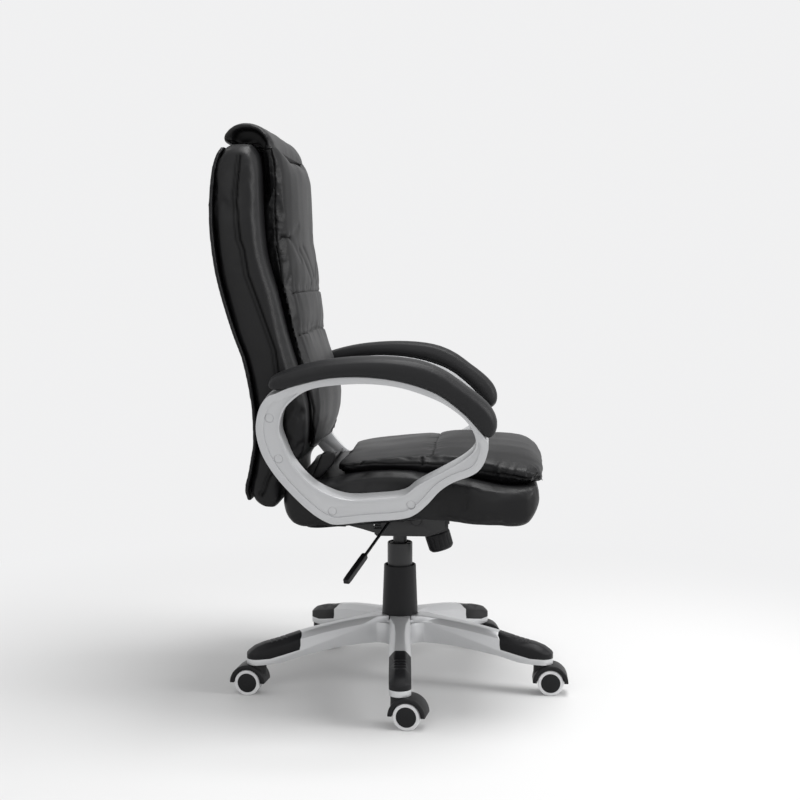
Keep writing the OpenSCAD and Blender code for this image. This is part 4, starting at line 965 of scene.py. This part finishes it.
for s in (-1, 1):
    tuft = [(s * x, y, TUFT_Z * MM) for x, y in (TUFT_OUT, TUFT_IN)]
    sew(back_pillow, tuft, 3.2 * MM, 2.6 * MM)
    for end_x, drop in CREASES:
        crease = [(s * CREASE_X, FRONT_Y, TUFT_Z * MM),
                  (s * end_x, FRONT_LOW_Y, (TUFT_Z - drop) * MM)]
        sew(back_pillow, crease, 1.4 * MM, 8 * MM, seam_shade=0)
    for x0, x1, top, low in SLANTS:
        slant = [(s * x0, FRONT_Y, top), (s * x1, FRONT_LOW_Y, low)]
        sew(back_pillow, slant, 1.5 * MM, 6 * MM, seam_shade=0.15)
ripple(back_pillow, height=1.6 * MM, scale=0.08, seed=21)
co = points(back_pillow)
corner = np.clip((co[:, 2] - CORNER_FROM) / CORNER_SPAN, 0, 1) ** 2
co[:, 0] *= 1 + CORNER_WIDER * corner
co[:, 2] += CORNER_RISE * corner * np.clip((np.abs(co[:, 0]) - CORNER_X) / CORNER_FADE, 0, 1)
move_to(back_pillow, co)
dress(back_pillow, "back_pillow")
print("the corners rise by up to", round(CORNER_RISE / MM), "mm")

# %% [markdown]
# ## Head crown
# The crown is a padded roll over the top edge. Each end is a flat panel, sunk a little inside the roll's rim. The
# rim isn't round, so its radius is taken from the middle of the roll for each step of the angle, and the vertices
# of the ends that lie within a share of it are pressed in. These sunk panels also get painted shade, so they read
# darker, as if in shadow.

# %% Head crown
CROWN_AXIS = (0.262, 1.056)        # of the arch, as y and height
MIDDLE, ARCH_STEP, ARCH_STEPS = 0.1, 0.1, 64       # half width measured, radians, and how many
PANEL_FROM, PANEL_FADE, PANEL_DEPTH = 160 * MM, 4 * MM, 14 * MM
PANEL_SHARE, SHARE_FADE, PANEL_SHADE = 0.62, 0.1, 0.55

crown = skinned("head_crown", "head_crown_sewn", PILLOW_VOXEL, leather)
stuff(crown, inset=3 * MM, cap=4 * MM)
finer(crown)
co = points(crown)
angle = np.arctan2(co[:, 2] - CROWN_AXIS[1], co[:, 1] - CROWN_AXIS[0])
radius = np.hypot(co[:, 2] - CROWN_AXIS[1], co[:, 1] - CROWN_AXIS[0])
steps = np.round((angle + np.pi) / ARCH_STEP).astype(int)
rim = np.zeros(ARCH_STEPS)
np.maximum.at(rim, steps, np.where(np.abs(co[:, 0]) < MIDDLE, radius, 0))
share = radius / np.maximum(rim[steps], MM)
inside = np.clip((PANEL_SHARE + SHARE_FADE - share) / SHARE_FADE, 0, 1)
inside *= np.clip((np.abs(co[:, 0]) - PANEL_FROM) / PANEL_FADE, 0, 1)
co[:, 0] -= np.sign(co[:, 0]) * PANEL_DEPTH * inside
move_to(crown, co)
# painted shade: the sunk end panels are darkened as if they lay in shadow
mark_seam(crown, PANEL_SHADE * inside)
relax(crown, 1, 0.3)
ripple(crown, height=1.2 * MM, scale=0.06, seed=31)
dress(crown, "head_crown")
print(crown.name, len(crown.data.polygons), "faces")

# %% [markdown]
# ## Flap and rear cover
# A loose flap hides the gap between the back and the seat. The rear of the back is one thin,
# tightly pulled cover, which only needs a skin that is relaxed at its edges. Both are too thin to
# swell, so neither is simulated.

# %% Flap and rear cover
FLAP_VOXEL, COVER_VOXEL = 4 * MM, 3 * MM

flap = skinned("back_flap", "back_flap_sewn", FLAP_VOXEL, leather)
relax(flap, 4)
finer(flap)
ripple(flap, height=1.5 * MM, scale=0.05, seed=41)
dress(flap, "back_flap")

cover = skinned("rear_cover", "rear_cover_skin", COVER_VOXEL, leather)
relax(cover, 3)
dress(cover, "rear_cover")
print(flap.name, len(flap.data.polygons), "faces;", cover.name, len(cover.data.polygons))
